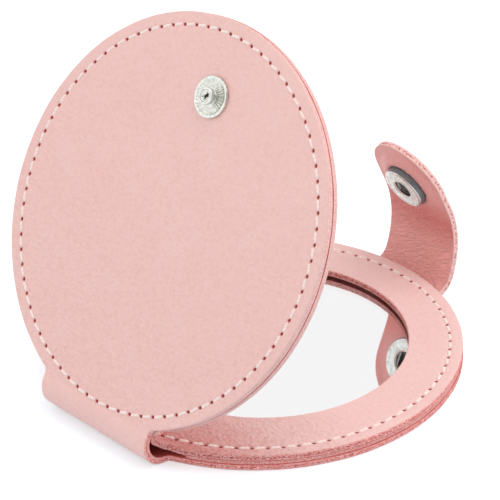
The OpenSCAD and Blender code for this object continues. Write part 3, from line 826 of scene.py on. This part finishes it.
class COMPACT_OT_lid_leather(bpy.types.Operator):
    """Make the lid's cover and its lining"""
    bl_idname = "compact.lid_leather"
    bl_label = "Lid Leather"

    def execute(self, context):
        m = measures()
        for node, grain, slot, seed in (("lid_cover", 2 * m.t, "leather_outer", 4),
                                        ("lid_lining", 0, "leather_inner", 6)):
            shape = solid_plate(disc_columns(m, m.neck_y, seed=seed), m, grain, m.t)
            add_piece(node + "_leather", moved(shape, on_lid, m), "leather_lid", slot, node, body="lid")
        return {"FINISHED"}


class COMPACT_OT_fold(bpy.types.Operator):
    """Make the fold's outer leather and its lining, which bend between the base and the lid"""
    bl_idname = "compact.fold"
    bl_label = "Fold"

    def execute(self, context):
        m = measures()
        lid_face, lid_middle = (on_lid(np.array([0, m.neck_y, z]), m)[1:] for z in (0, m.t))
        outward = np.array([math.sin(m.opening), math.cos(m.opening)])
        to_lid = 90 - math.degrees(m.opening)

        path, out = arc((m.neck_y, m.fold_r), m.fold_r - m.t, -90, to_lid)
        land = np.linspace(path[-1], lid_middle, 4)[1:]
        path, out = np.vstack([path, land]), np.vstack([out, np.tile(outward, (3, 1))])
        shape = strip(path, out, m.t, lambda y: np.full(y.shape, m.half), FOLD_COLUMNS, m.round_flesh, m.round_grain,
                      seed=7)
        add_piece("fold_outer_leather", shape, "leather_base", "leather_outer", "hinge_outer", bend=m.outer_bend)

        lift = math.degrees(m.lift)
        foot, foot_out = arc((m.lift_y, m.base_h + m.lift_radius), m.lift_radius, -90, lift - 90, 2)
        crease, crease_out = arc(m.crease, m.crease_radius, lift - 90, to_lid, 8)
        slope = np.linspace(foot[-1], crease[0], 14)[1:-1]
        land = np.linspace(crease[-1], lid_face, 4)[1:]
        path = np.vstack([foot, slope, crease, land])
        out = np.vstack([foot_out, np.tile(foot_out[-1], (len(slope), 1)), crease_out, np.tile(outward, (3, 1))])

        def width(y):
            fillet = m.half + m.bridge_fillet \
                - np.sqrt(np.maximum(m.bridge_fillet ** 2 - np.minimum(y - m.neck_y, 0) ** 2, 0))
            meet = m.neck_y * m.r / (m.r + m.bridge_fillet)
            return np.where(y < meet, np.sqrt(np.maximum(m.r ** 2 - np.minimum(y, m.r) ** 2, 1)), fillet)

        def pressed(x, y, z):
            depth, hole = seam_relief(x, y, m)
            near = 1 - smooth((y - m.neck_y + 0.2) / 0.5)
            return depth * near, hole * near

        shape = strip(path, out, m.t, width, LINING_COLUMNS, m.round_grain, m.round_flesh, pressed, 8, back_in=False)
        add_piece("fold_lining_leather", shape, "leather_frame", "leather_inner", "hinge_lining", bend=m.lining_bend)
        return {"FINISHED"}


class COMPACT_OT_seams(bpy.types.Operator):
    """Make the stitches of the base, the fold and the lid"""
    bl_idname = "compact.seams"
    bl_label = "Seams"

    def execute(self, context):
        m = measures()

        def everywhere(a):
            return np.ones(len(a), bool)

        def on_base(a):
            return m.seam_r * np.sin(a) < m.lift_y - 1.2

        def on_fold(a):
            return ~on_base(a)

        def lifted(h, y):
            past = np.maximum(y - m.lift_y, 0)
            return m.base_h + h + (m.lift_radius - np.sqrt(np.maximum(m.lift_radius ** 2 - past ** 2, 1)))

        top = stitch_ring(m, on_base, lambda h, y: m.base_h + h, 8, m.proud, 1.15)
        under = stitch_ring(m, everywhere, lambda h, y: -np.minimum(h, -0.01), 10, 0.15)
        add_piece("base_stitches", joined(top, under), "waxed_thread", "thread", "base_stitching", body="base")
        fold = stitch_ring(m, on_fold, lifted, 8, m.proud, 1.15)
        add_piece("fold_stitches", fold, "waxed_thread", "thread", bend=m.lining_bend)
        outside = stitch_ring(m, everywhere, lambda h, y: 2 * m.t + h, 11, m.proud)
        inside = stitch_ring(m, everywhere, lambda h, y: -h, 15, m.proud_inside)
        add_piece("lid_stitches", moved(joined(outside, inside), on_lid, m), "waxed_thread", "thread",
                  "lid_stitching", body="lid")
        return {"FINISHED"}


class COMPACT_OT_strap(bpy.types.Operator):
    """Make the strap's four pieces: its root, link, curve and tab"""
    bl_idname = "compact.strap"
    bl_label = "Strap"

    def execute(self, context):
        m = measures()
        link_from, curve_from = m.root_length * ROOT_END, m.root_length * LINK_END
        tab_from = m.root_length + m.belly_radius * (m.root_lean + PAST_UPRIGHT)
        for name, node, start, stop, body, bend in (
                ("strap_root_leather", "strap_root", 0, link_from, None, ROOT_BEND),
                ("strap_link_leather", "strap_link", link_from, curve_from, "strap_lower", None),
                ("strap_curve_leather", "strap_bend", curve_from, tab_from, None, CURVE_BEND)):
            stations = np.linspace(start, stop, max(3, int((stop - start) / LOOP_STEP) + 1))

            def creased(x, y, z):
                return strap_wrinkles(x, stations[:, None], m), 0

            shape = strip(*strap_place(m, stations), m.t, lambda y: np.full(y.shape, m.strap_half), STRAP_COLUMNS,
                          m.round_flesh, m.round_grain, creased, 9)
            add_piece(name, shape, "leather_strap", "leather_outer", node, body=body, bend=bend)
        add_piece("strap_tab_leather", tab_shape(m, tab_from), "leather_strap", "leather_outer", "strap_tab",
                  body="strap_end")
        return {"FINISHED"}


class COMPACT_OT_stud(bpy.types.Operator):
    """Make the snap's stud on the lid and its hollow post"""
    bl_idname = "compact.stud"
    bl_label = "Snap Stud"

    def execute(self, context):
        m = measures()
        rim = m.flange / 2

        def fluted(r, a, h):
            dish = smooth((r - 1.75) / 0.35) * (1 - smooth((r - rim + 0.95) / 0.3)) * (h < 0.62) * (h > 0.2)
            return r, h + dish * (0.055 * np.cos(m.flutes * a) + 0.012 * np.cos(7 * a + 1))

        def squeezed(r, a, h):
            hollow = smooth((0.75 - r) / 0.2) * smooth(h / 0.4) * smooth(r / 0.1)
            return r * (1 + 0.5 * hollow * np.cos(2 * (a - 0.9))), h

        flange = [(1.0, 0.0, 0), (rim - 0.02, 0.0, 0.05), (rim, 0.7, 0.34), (rim - 0.55, 0.7, 0.3),
                  (rim - 0.85, 0.5, 0.25), (3.0, 0.46, 0), (2.75, 0.45, 0), (2.5, 0.45, 0), (2.2, 0.46, 0),
                  (1.95, 0.48, 0), (1.75, 0.51, 0), (1.42, 0.56, 0.16), (1.36, 1.5, 0.2), (1.75, 1.62, 0.12),
                  (1.75, 2.1, 0.3), (1.26, 2.1, 0.05), (1.26, 1.86, 0.05), (1.0, 1.86, 0)]
        top = m.t + 2.1
        post = [(0, -0.4, 0), (3.4, -0.4, 0.1), (3.4, 0, 0.1), (0.95, 0, 0.05), (0.95, top - 0.25, 0.05),
                (1.25, top - 0.25, 0.08), (1.23, top - 0.02, 0.14), (0.98, top, 0.12), (0.5, top - 0.34, 0.22),
                (0.4, top - 0.6, 0.1), (0.4, 0.1, 0.05), (0, 0.1, 0)]
        for name, node, corners, count, warp, z in (
                ("stud_metal", "snap_stud", flange, 240, fluted, 2 * m.t),
                ("stud_post_metal", "stud_post", post, 120, squeezed, m.t)):
            shape = moved(lathe(rounded(corners), count, warp), on_lid, m, (0, m.stud_y, z))
            add_piece(name, shape, "snap_nickel", "snap_metal", node, body="lid", sharp=50)
        return {"FINISHED"}


class COMPACT_OT_socket(bpy.types.Operator):
    """Make the snap's socket and the cap outside the strap, and finish its spring"""
    bl_idname = "compact.socket"
    bl_label = "Snap Socket"

    def execute(self, context):
        m = measures()
        rim, mouth, top = m.socket / 2, m.mouth / 2, m.socket_height
        socket = [(1.0, 0.0, 0), (rim - 0.05, 0.0, 0.1), (rim, 0.5, 0), (rim, top - 0.05, 0.42),
                  (rim - 0.5, top, 0.3), (rim - 1.0, top - 0.03, 0.3), (mouth + 0.75, top - 0.03, 0.2),
                  (mouth + 0.35, top, 0.25), (mouth, top - 0.12, 0.14), (mouth, top - 0.35, 0.05),
                  (3.7, top - 0.35, 0), (3.7, 0.45, 0), (1.0, 0.45, 0)]
        edge, low = m.cap / 2, -m.t - m.cap_height
        cap = [(0, low, 0), (1.6, low + 0.03, 0), (3.2, low + 0.22, 0), (4.6, low + 0.62, 0.6),
               (edge - 0.12, low + 1.12, 0.3), (edge, low + 1.5, 0.2), (edge - 0.1, -m.t, 0.12),
               (0.95, -m.t, 0.05), (0.95, 0.45, 0), (1.25, 0.45, 0.05), (1.23, 0.69, 0.14), (0.75, 0.7, 0.12),
               (0.55, 0.5, 0.15), (0.55, -m.t, 0), (0, -m.t, 0)]

        # The socket's side wall gets 1, a painted dark reflection, and its inside gets 0.4, a painted shade
        def socket_painted_dark(r, z):
            return (z < top - 0.3) * (1.0 * (r > rim - 0.04) + 0.4 * (r < rim - 0.5))

        # Painted shade on the cap's post, which stands inside the socket's mouth
        def cap_painted_dark(r, z):
            return 0.4 * (z > -m.t + 0.1)

        for name, node, corners, painted_dark_at in (("socket_metal", "snap_socket", socket, socket_painted_dark),
                                               ("cap_metal", "snap_cap", cap, cap_painted_dark)):
            shape = lathe(rounded(corners), 144)
            x, y, z = np.moveaxis(shape["points"], -1, 0)
            shape["marks"] = {"side": painted_dark_at(np.hypot(x, y), z)}
            add_piece(name, moved(shape, on_tab, m), "snap_nickel", "snap_metal", node, body="strap_end", sharp=50)
        refinish("socket_spring", "spring_wire")
        return {"FINISHED"}


class COMPACT_OT_mirror(bpy.types.Operator):
    """Make the mirror glass and its silvering, and finish the glue tape"""
    bl_idname = "compact.mirror"
    bl_label = "Mirror"

    def execute(self, context):
        m = measures()
        low, high, r = m.glass_top - m.glass_thickness, m.glass_top, m.glass / 2
        seat = np.array([0, -m.window_shift, 0])
        glass = [(0, low + 0.004), (r - 0.1, low + 0.004), (r, low + 0.1), (r, high - 0.12),
                 (r - 0.12, high - 0.002), (0, high - 0.002)]
        silver = [(0, low - 0.05), (r - 0.3, low - 0.05), (r - 0.3, low), (0, low)]
        for name, profile, finish_name, slot, node in (
                ("mirror_glass_sheet", glass, "float_glass", "mirror_glass", "mirror_glass"),
                ("mirror_silver_back", silver, "silvering", "silvering", "mirror_silvering")):
            shape = moved(lathe(profile, 240), np.add, seat)
            add_piece(name, shape, finish_name, slot, node, body="base", sharp=5)
        refinish("mirror_tape", "glue_tape")
        return {"FINISHED"}


# Finishes


class Finish:
    """A material or the world made of nodes, with short calls for the nodes that the finishes use."""

    def __init__(self, name=None, tree=None):
        self.colours = bpy.context.scene.compact_colours
        if tree:
            self.tree, self.shader = tree, tree.nodes["Background"]
            return
        self.material = bpy.data.materials.new(name)
        self.material.use_nodes = True
        self.tree = self.material.node_tree
        self.shader = self.tree.nodes["Principled BSDF"]

    def join(self, value, target):
        """Links a socket to the target, or sets a plain value there."""
        if isinstance(value, bpy.types.NodeSocket):
            self.tree.links.new(value, target)
        else:
            target.default_value = value

    def node(self, kind, inputs=None, **settings):
        """A new node with its settings and its joined inputs."""
        made = self.tree.nodes.new("ShaderNode" + kind)
        for key, value in settings.items():
            setattr(made, key, value)
        for key, value in (inputs or {}).items():
            self.join(value, made.inputs[key])
        return made

    def calc(self, operation, *values, clamp=False):
        """One step of arithmetic."""
        return self.node("Math", dict(enumerate(values)), operation=operation, use_clamp=clamp).outputs[0]

    def times(self, a, b):
        """a times b."""
        return self.calc("MULTIPLY", a, b)

    def fused(self, a, b, c):
        """a times b, plus c."""
        return self.calc("MULTIPLY_ADD", a, b, c)

    def mark(self, name, output="Fac"):
        """A mark of the piece's points."""
        return self.node("Attribute", attribute_name=name).outputs[output]

    def axes(self, vector):
        """A vector's X, Y and Z."""
        return self.node("SeparateXYZ", {"Vector": vector}).outputs

    def mapped(self, vector, **inputs):
        """A vector turned by its rotation and stretched by its scale."""
        inputs = {key.capitalize(): tuple(value) for key, value in inputs.items()}
        return self.node("Mapping", {"Vector": vector, **inputs}).outputs["Vector"]

    def place(self, *stretch, on_node=False):
        """Rest place in millimetres, stretched along the three axes. A CAD node has no marks, so there it comes from
        Object coordinates."""
        stretch = stretch or (1, 1, 1)
        if on_node:
            return self.mapped(self.node("TexCoord").outputs["Object"], scale=[1000 * s for s in stretch])
        return self.mapped(self.mark("place", "Vector"), scale=stretch)

    def noise(self, vector, size, detail=3, rough=0.55, distort=0):
        """Cloud noise from 0 to 1 whose blots are about size millimetres across."""
        return self.node("TexNoise", {"Vector": vector, "Scale": 1 / size, "Detail": detail, "Roughness": rough,
                                      "Distortion": distort}).outputs["Fac"]

    def cells(self, vector, size):
        """Distance to the nearest of scattered points about size millimetres apart."""
        return self.node("TexVoronoi", {"Vector": vector, "Scale": 1 / size}, feature="SMOOTH_F1").outputs["Distance"]

    def span(self, value, low, high, to_low=0.0, to_high=1.0):
        """to_low where the value is low, to_high where it is high, and evenly in between."""
        return self.node("MapRange", {"Value": value, "From Min": low, "From Max": high, "To Min": to_low,
                                      "To Max": to_high}, clamp=True).outputs["Result"]

    def mix(self, share, a, b):
        """Colour a where the share is 0, b where it is 1, and evenly in between."""
        made = self.node("Mix", data_type="RGBA")
        for socket, value in ((made.inputs[0], share), (made.inputs[6], a), (made.inputs[7], b)):
            self.join(value if isinstance(value, (bpy.types.NodeSocket, float, int)) else (*value, 1), socket)
        return made.outputs[2]

    def bump(self, height, depth, **normal):
        """Tilts the surface by a height from 0 to 1 that stands for depth millimetres."""
        inputs = {"Height": height, "Distance": depth / 1000, "Strength": 1.0}
        inputs.update({key.capitalize(): value for key, value in normal.items()})
        return self.node("Bump", inputs).outputs["Normal"]

    def set(self, **values):
        """Joins values to the shader's sockets of the same names."""
        for key, value in values.items():
            self.join(value, self.shader.inputs[key.replace("_", " ")])


def shade(base, factor):
    """A colour made lighter or darker, as three shares of light."""
    return tuple(min(1.0, c * factor) for c in base)


made_finishes = {}


def finish(name):
    """The finish of that name, made when it is first asked for. It isn't looked up among all materials, because the CAD
    model has materials with some of these names."""
    c = bpy.context.scene.compact_colours
    kinds = {
        "leather_base": (build_leather, dict(face=c.leather, deep_edge=c.edge_deep, pits=0.9)),
        # The frame's and the lining's finish paints shade from Y 20 towards the fold. The strap's finish paints it on
        # its inner face between Z 8 and 21
        "leather_frame": (build_leather, dict(face=c.leather_ring, deep_edge=c.edge_deep, pits=0.9, coarse=1.0,
                                              bent=("Y", 20, 36, 60, 61))),
        "leather_lid": (build_leather, dict(face=c.leather, deep_edge=c.edge_burnished, pits=0.3, tone=0.9,
                                            coarse=0.25)),
        "leather_strap": (build_leather, dict(face=c.leather, deep_edge=c.edge_burnished, back=c.lining, pits=0.8,
                                              bent=("Z", 8, 14, 15, 21), creased=True)),
        "leather_core": (build_leather, dict(face=c.leather, deep_edge=c.edge_deep, pits=0.4, tone=0.85)),
        "waxed_thread": (build_thread, {}),
        "snap_nickel": (build_metal, dict(base=c.metal, rough=0.2)),
        "spring_wire": (build_metal, dict(base=c.spring, rough=0.4, on_node=True)),
        "float_glass": (build_glass, {}),
        "silvering": (build_silver, {}),
        "glue_tape": (build_tape, {})}
    if name not in made_finishes:
        build, settings = kinds[name]
        f = Finish(name)
        build(f, **settings)
        made_finishes[name] = f.material
    return made_finishes[name]


def build_leather(f, face, deep_edge, pits, back=None, tone=1.0, bent=None, coarse=0.0, creased=False):
    """Coated leather: small pebbles and pores in satin colour that clouds slightly, with painted shade in the valleys
    of its grain, fibrous cut edges, dark needle holes whose colour is partly painted shade, and a glue line, as the
    marks on the piece say. The setting bent names an axis and four places on it. Between those places a deeper tone
    paints the shade under the lid near the fold and on the strap's inner face in its curve. Coarse grain grows towards
    the fold. A creased back has fine lines that run aslant across the strap. tone darkens the cut edge, and pits says
    how many dots are in it."""
    c = f.colours
    at = f.place()
    edge, hole, glue, line, is_back = (f.mark(key) for key in ("edge", "hole", "glue", "line", "back"))
    axes = f.axes(at)
    coarse = f.span(axes["Y"], 4, 34, 0.0, coarse)

    pebble = f.cells(at, 0.8)
    fine = f.noise(at, 0.36, 4, 0.6)
    wrinkle = f.noise(f.place(0.8, 1.3, 1.0), 0.7, 3, 0.6, 0.9)
    body = face
    # The pebbles' valleys and, where the grain is coarse, the wrinkles' troughs take this colour as painted shade. The
    # clouds and the fine noise give random tone
    for share in (f.span(pebble, 0.35, 0.75, 0.0, 0.16), f.span(f.noise(at, 9, 3, 0.5), 0.3, 0.7, 0.0, 0.08),
                  f.span(fine, 0.5, 0.72, 0.0, 0.2), f.times(coarse, f.span(wrinkle, 0.5, 0.35, 0.0, 0.7))):
        body = f.mix(share, body, c.leather_deep)
    body = f.mix(is_back, body, f.mix(f.span(fine, 0.45, 0.75, 0.0, 0.3), back or c.flesh, c.leather_deep))
    # Painted shade: between the four places on the axis, the colour deepens under the lid near the fold and on the
    # strap's inner face in its curve
    if bent:
        axis, from_none, from_full, to_full, to_none = bent
        where = f.times(f.span(axes[axis], from_none, from_full), f.span(axes[axis], to_full, to_none, 1.0, 0.0))
        if creased:
            where = f.times(where, is_back)
        body = f.mix(f.times(where, f.span(wrinkle, 0.35, 0.6, 0.85, 0.5)), body, c.bent)

    fleck = f.noise(f.place(1, 1, 1.4), 0.3, 3, 0.6)
    streak = f.noise(f.place(0.7, 0.7, 2.6), 0.42, 2, 0.6)
    fibre = f.span(f.fused(fleck, 0.6, f.times(streak, 0.4)), 0.46, 0.59)
    cut = f.mix(fibre, shade(deep_edge, tone), shade(c.edge_pale, tone))
    pit = f.span(f.noise(at if creased else f.place(0.75, 0.75, 2.2), 0.34, 2, 0.6), 0.5, 0.56)
    cut = f.mix(f.times(pit, f.fused(line, pits, 0.2 * pits)), cut, shade(c.glue, 0.75))

    body = f.mix(edge, body, cut)
    body = f.mix(f.times(glue, 0.9), body, c.glue)
    # Needle holes take a dark colour that is partly painted shade in their pits
    body = f.mix(f.span(hole, 0.25, 0.7), body, c.hole)

    height = f.fused(fine, 0.05, f.times(pebble, f.fused(coarse, -0.35, -0.06)))
    height = f.fused(wrinkle, f.fused(coarse, 0.6, 0.1), height)
    if creased:
        lay = f.mapped(f.mapped(at, rotation=(0, math.radians(-25), 0)), scale=(0.3, 1.2, 1.2))
        crease = f.times(f.span(f.noise(lay, 0.55, 3, 0.55, 0.5), 0.42, 0.6), is_back)
        height = f.fused(crease, f.times(f.span(axes["Z"], 13, 20, 1.0, 0.12), 0.16), height)
    normal = f.bump(f.times(fleck, edge), 0.12, normal=f.bump(height, 1.0))
    rough = f.calc("ADD", f.span(fine, 0.3, 0.7, 0.42, 0.54), f.times(edge, 0.4), clamp=True)
    f.set(Base_Color=body, Roughness=rough, Normal=normal, Specular_IOR_Level=0.36)


def build_thread(f):
    """Waxed thread of three plies: pale diagonal ridges along the UV map, with painted shade between them."""
    c = f.colours
    axes = f.axes(f.node("UVMap", uv_map="lay").outputs["UV"])
    phase = f.calc("ADD", f.times(axes["X"], 44.0), f.times(axes["Y"], 2 * math.pi))
    ply = f.calc("ADD", f.times(f.calc("SINE", phase), 0.5), 0.5)
    fuzz = f.noise(f.place(), 0.12, 3)
    # Painted shade in the grooves between the plies, which the bump below also makes
    body = f.mix(f.span(ply, 0.0, 0.5), shade(c.thread, 0.86), c.thread)
    f.set(Base_Color=f.mix(f.span(fuzz, 0.3, 0.8, 0, 0.1), body, shade(c.thread, 0.7)), Roughness=0.6,
          Normal=f.bump(f.calc("ADD", ply, f.times(fuzz, 0.3)), 0.035), Sheen_Weight=0.15)


def build_metal(f, base, rough, on_node=False):
    """Tumbled nickel plate: cloudy gloss, fine scuffs and dull spots. Where the mark side is, a dark colour paints the
    reflection on the socket's side wall and the shade inside the socket and on the cap's post.
    """
    at = f.place(on_node=on_node)
    cloud = f.noise(at, 0.8, 4, 0.6, 0.4)
    grit = f.noise(at, 0.16, 3, 0.7)
    scuff = f.noise(f.place(4, 0.5, 1.5, on_node=on_node), 0.5, 3, 0.6)
    worn = f.span(f.calc("ADD", f.times(cloud, 0.6), f.times(scuff, 0.4)), 0.35, 0.65)
    # Painted dark reflection and shade where the mark side is, with less metal there
    side = f.mark("side")
    body = f.mix(f.times(side, 0.85), f.mix(worn, shade(base, 0.68), shade(base, 1.1)), f.colours.tarnish)
    f.set(Base_Color=body, Metallic=f.fused(side, -0.7, 0.95), Roughness=f.span(worn, 0, 1, rough + 0.12, rough - 0.03),
          Normal=f.bump(f.calc("ADD", f.times(grit, 0.5), f.times(scuff, 0.5)), 0.01))


def build_glass(f):
    """Clear float glass."""
    f.set(Base_Color=(0.985, 0.982, 0.985, 1), Transmission_Weight=1.0, IOR=1.5, Roughness=0.0)


def build_silver(f):
    """Silvered back of the glass, with a faint cloudiness in its gloss."""
    haze = f.noise(f.place(), 12, 2)
    f.set(Base_Color=(0.955, 0.95, 0.955, 1), Metallic=1.0, Roughness=f.span(haze, 0.3, 0.7, 0.0, 0.015))


def build_tape(f):
    """Double-sided tape with a fine fleece in it."""
    pale = f.colours.tape
    fleece = f.noise(f.place(1, 6, 1, on_node=True), 0.8, 4)
    f.set(Base_Color=f.mix(f.span(fleece, 0.3, 0.7), shade(pale, 0.85), pale), Roughness=0.7,
          Normal=f.bump(fleece, 0.02))


# Stage

# Light that the floor gives to seen rays, and light of the surroundings for all others
FLOOR_GLOW, WORLD_LIGHT = 0.38, 0.8

# Name, place, aim, size and power of each lamp
LAMPS = (("over", (-0.35, -0.25, 1.1), (0, 0, 0.02), 0.9, 3.3),
         ("side", (-0.5, -0.8, 0.55), (0, 0, 0.02), 1.0, 3.4),
         ("front", (0.55, 1.0, 0.55), (0, 0, 0.03), 1.4, 2.7))

# The camera's direction and roll in degrees, its aim and distance in metres, and its focal length and the picture's
# width in pixels
CAMERA = SimpleNamespace(azimuth=228.188, elevation=31.493, roll=-1.141, aim=(-0.037447, 0.035312, 0.056085),
                         distance=0.900019, focal=4963.303, picture=500)


def seen_rays(f):
    """1 for rays from the camera, from gloss and through glass, and 0 for the rays that light the object."""
    rays = f.node("LightPath").outputs
    through = f.calc("MAXIMUM", rays["Is Glossy Ray"], rays["Is Transmission Ray"])
    return f.calc("MAXIMUM", rays["Is Camera Ray"], through)


def place_floor(scene):
    """A square of 12 m, a hair under the compact, in pale paper."""
    mesh = bpy.data.meshes.new("floor")
    mesh.from_pydata([(-6, -6, -2e-5), (6, -6, -2e-5), (6, 6, -2e-5), (-6, 6, -2e-5)], [], [(0, 1, 2, 3)])
    floor = bpy.data.objects.new("floor", mesh)
    scene.collection.objects.link(floor)
    f = Finish("floor_paper")
    pale = f.colours.floor
    paper = f.noise(f.place(on_node=True), 3, 3)
    f.set(Base_Color=f.mix(f.span(paper, 0.3, 0.7, 0, 0.04), pale, shade(pale, 0.97)), Roughness=0.9,
          Specular_IOR_Level=0.1, Emission_Color=(1, 1, 1, 1), Emission_Strength=f.times(seen_rays(f), FLOOR_GLOW))
    floor.data.materials.append(f.material)


def place_surroundings(scene):
    """White surroundings. Seen rays find them at full strength, except gloss and glass towards one soft dark patch."""
    scene.world = bpy.data.worlds.new("studio")
    scene.world.use_nodes = True
    w = Finish(tree=scene.world.node_tree)
    way = w.node("TexCoord").outputs["Generated"]
    toward = w.node("VectorMath", {0: way, 1: (-0.6, 0.1, 0.79)}, operation="DOT_PRODUCT").outputs["Value"]
    is_camera = w.node("LightPath").outputs["Is Camera Ray"]
    dim = w.calc("MAXIMUM", is_camera, w.span(toward, 0.75, 0.96, 1.0, 0.3))
    w.set(Color=(1, 1, 1, 1), Strength=w.fused(seen_rays(w), w.calc("SUBTRACT", dim, WORLD_LIGHT), WORLD_LIGHT))


def place_lamps(scene):
    """Square lamps that point at the compact."""
    for name, spot, aim, size, power in LAMPS:
        lamp = bpy.data.lights.new(name, "AREA")
        lamp.shape, lamp.size, lamp.energy = "SQUARE", size, power
        thing = bpy.data.objects.new(name, lamp)
        scene.collection.objects.link(thing)
        thing.location = spot
        thing.rotation_mode = "QUATERNION"
        thing.rotation_quaternion = Vector(np.array(aim) - spot).to_track_quat("-Z", "Y")


def place_camera(scene):
    """Camera at the photograph's angle: it looks back along azimuth and elevation from a distance, rolled slightly."""
    azimuth, elevation, roll = (math.radians(a) for a in (CAMERA.azimuth, CAMERA.elevation, CAMERA.roll))
    back = np.array([math.sin(azimuth) * math.cos(elevation), -math.cos(azimuth) * math.cos(elevation),
                     math.sin(elevation)])
    right = np.array([math.cos(azimuth), math.sin(azimuth), 0])
    up = np.cross(back, right)
    right, up = math.cos(roll) * right + math.sin(roll) * up, -math.sin(roll) * right + math.cos(roll) * up
    data = bpy.data.cameras.new("camera")
    data.sensor_width, data.lens = 36, CAMERA.focal * 36 / CAMERA.picture
    data.clip_start, data.clip_end = 0.05, 20
    camera = bpy.data.objects.new("camera", data)
    scene.collection.objects.link(camera)
    matrix = np.eye(4)
    matrix[:3] = np.column_stack([right, up, back, np.array(CAMERA.aim) + back * CAMERA.distance])
    camera.matrix_world = Matrix(matrix.tolist())
    scene.camera = camera


class COMPACT_OT_studio(bpy.types.Operator):
    """Make the floor, the lamps, the surroundings and the camera"""
    bl_idname = "compact.studio"
    bl_label = "Studio"

    def execute(self, context):
        scene = context.scene
        scene.view_settings.view_transform = "Standard"
        place_floor(scene)
        place_surroundings(scene)
        place_lamps(scene)
        place_camera(scene)
        return {"FINISHED"}


OPERATORS = (COMPACT_OT_base_leather, COMPACT_OT_lid_leather, COMPACT_OT_fold, COMPACT_OT_seams, COMPACT_OT_strap,
             COMPACT_OT_stud, COMPACT_OT_socket, COMPACT_OT_mirror, COMPACT_OT_studio)


class COMPACT_PT_panel(bpy.types.Panel):
    """Lists the steps that make the compact mirror"""
    bl_idname = "COMPACT_PT_panel"
    bl_label = "Compact Mirror"
    bl_space_type = "VIEW_3D"
    bl_region_type = "UI"
    bl_category = "Compact"

    def draw(self, context):
        for kind in OPERATORS:
            self.layout.operator(kind.bl_idname)
        for key in GROUPS:
            box = self.layout.box()
            group = getattr(context.scene, key)
            for name in group.__annotations__:
                box.prop(group, name)


def register():
    """Registers the property groups, the operators and the panel."""
    for kind in (*GROUPS.values(), *OPERATORS, COMPACT_PT_panel):
        bpy.utils.register_class(kind)
    for key, kind in GROUPS.items():
        setattr(bpy.types.Scene, key, bpy.props.PointerProperty(type=kind))


def unregister():
    """Takes them away again, last first."""
    for key in GROUPS:
        delattr(bpy.types.Scene, key)
    for kind in reversed((*GROUPS.values(), *OPERATORS, COMPACT_PT_panel)):
        bpy.utils.unregister_class(kind)


def main():
    """Makes every piece and the stage."""
    register()
    for kind in OPERATORS:
        group, name = kind.bl_idname.split(".")
        getattr(getattr(bpy.ops, group), name)()


if __name__ == "__main__":
    main()
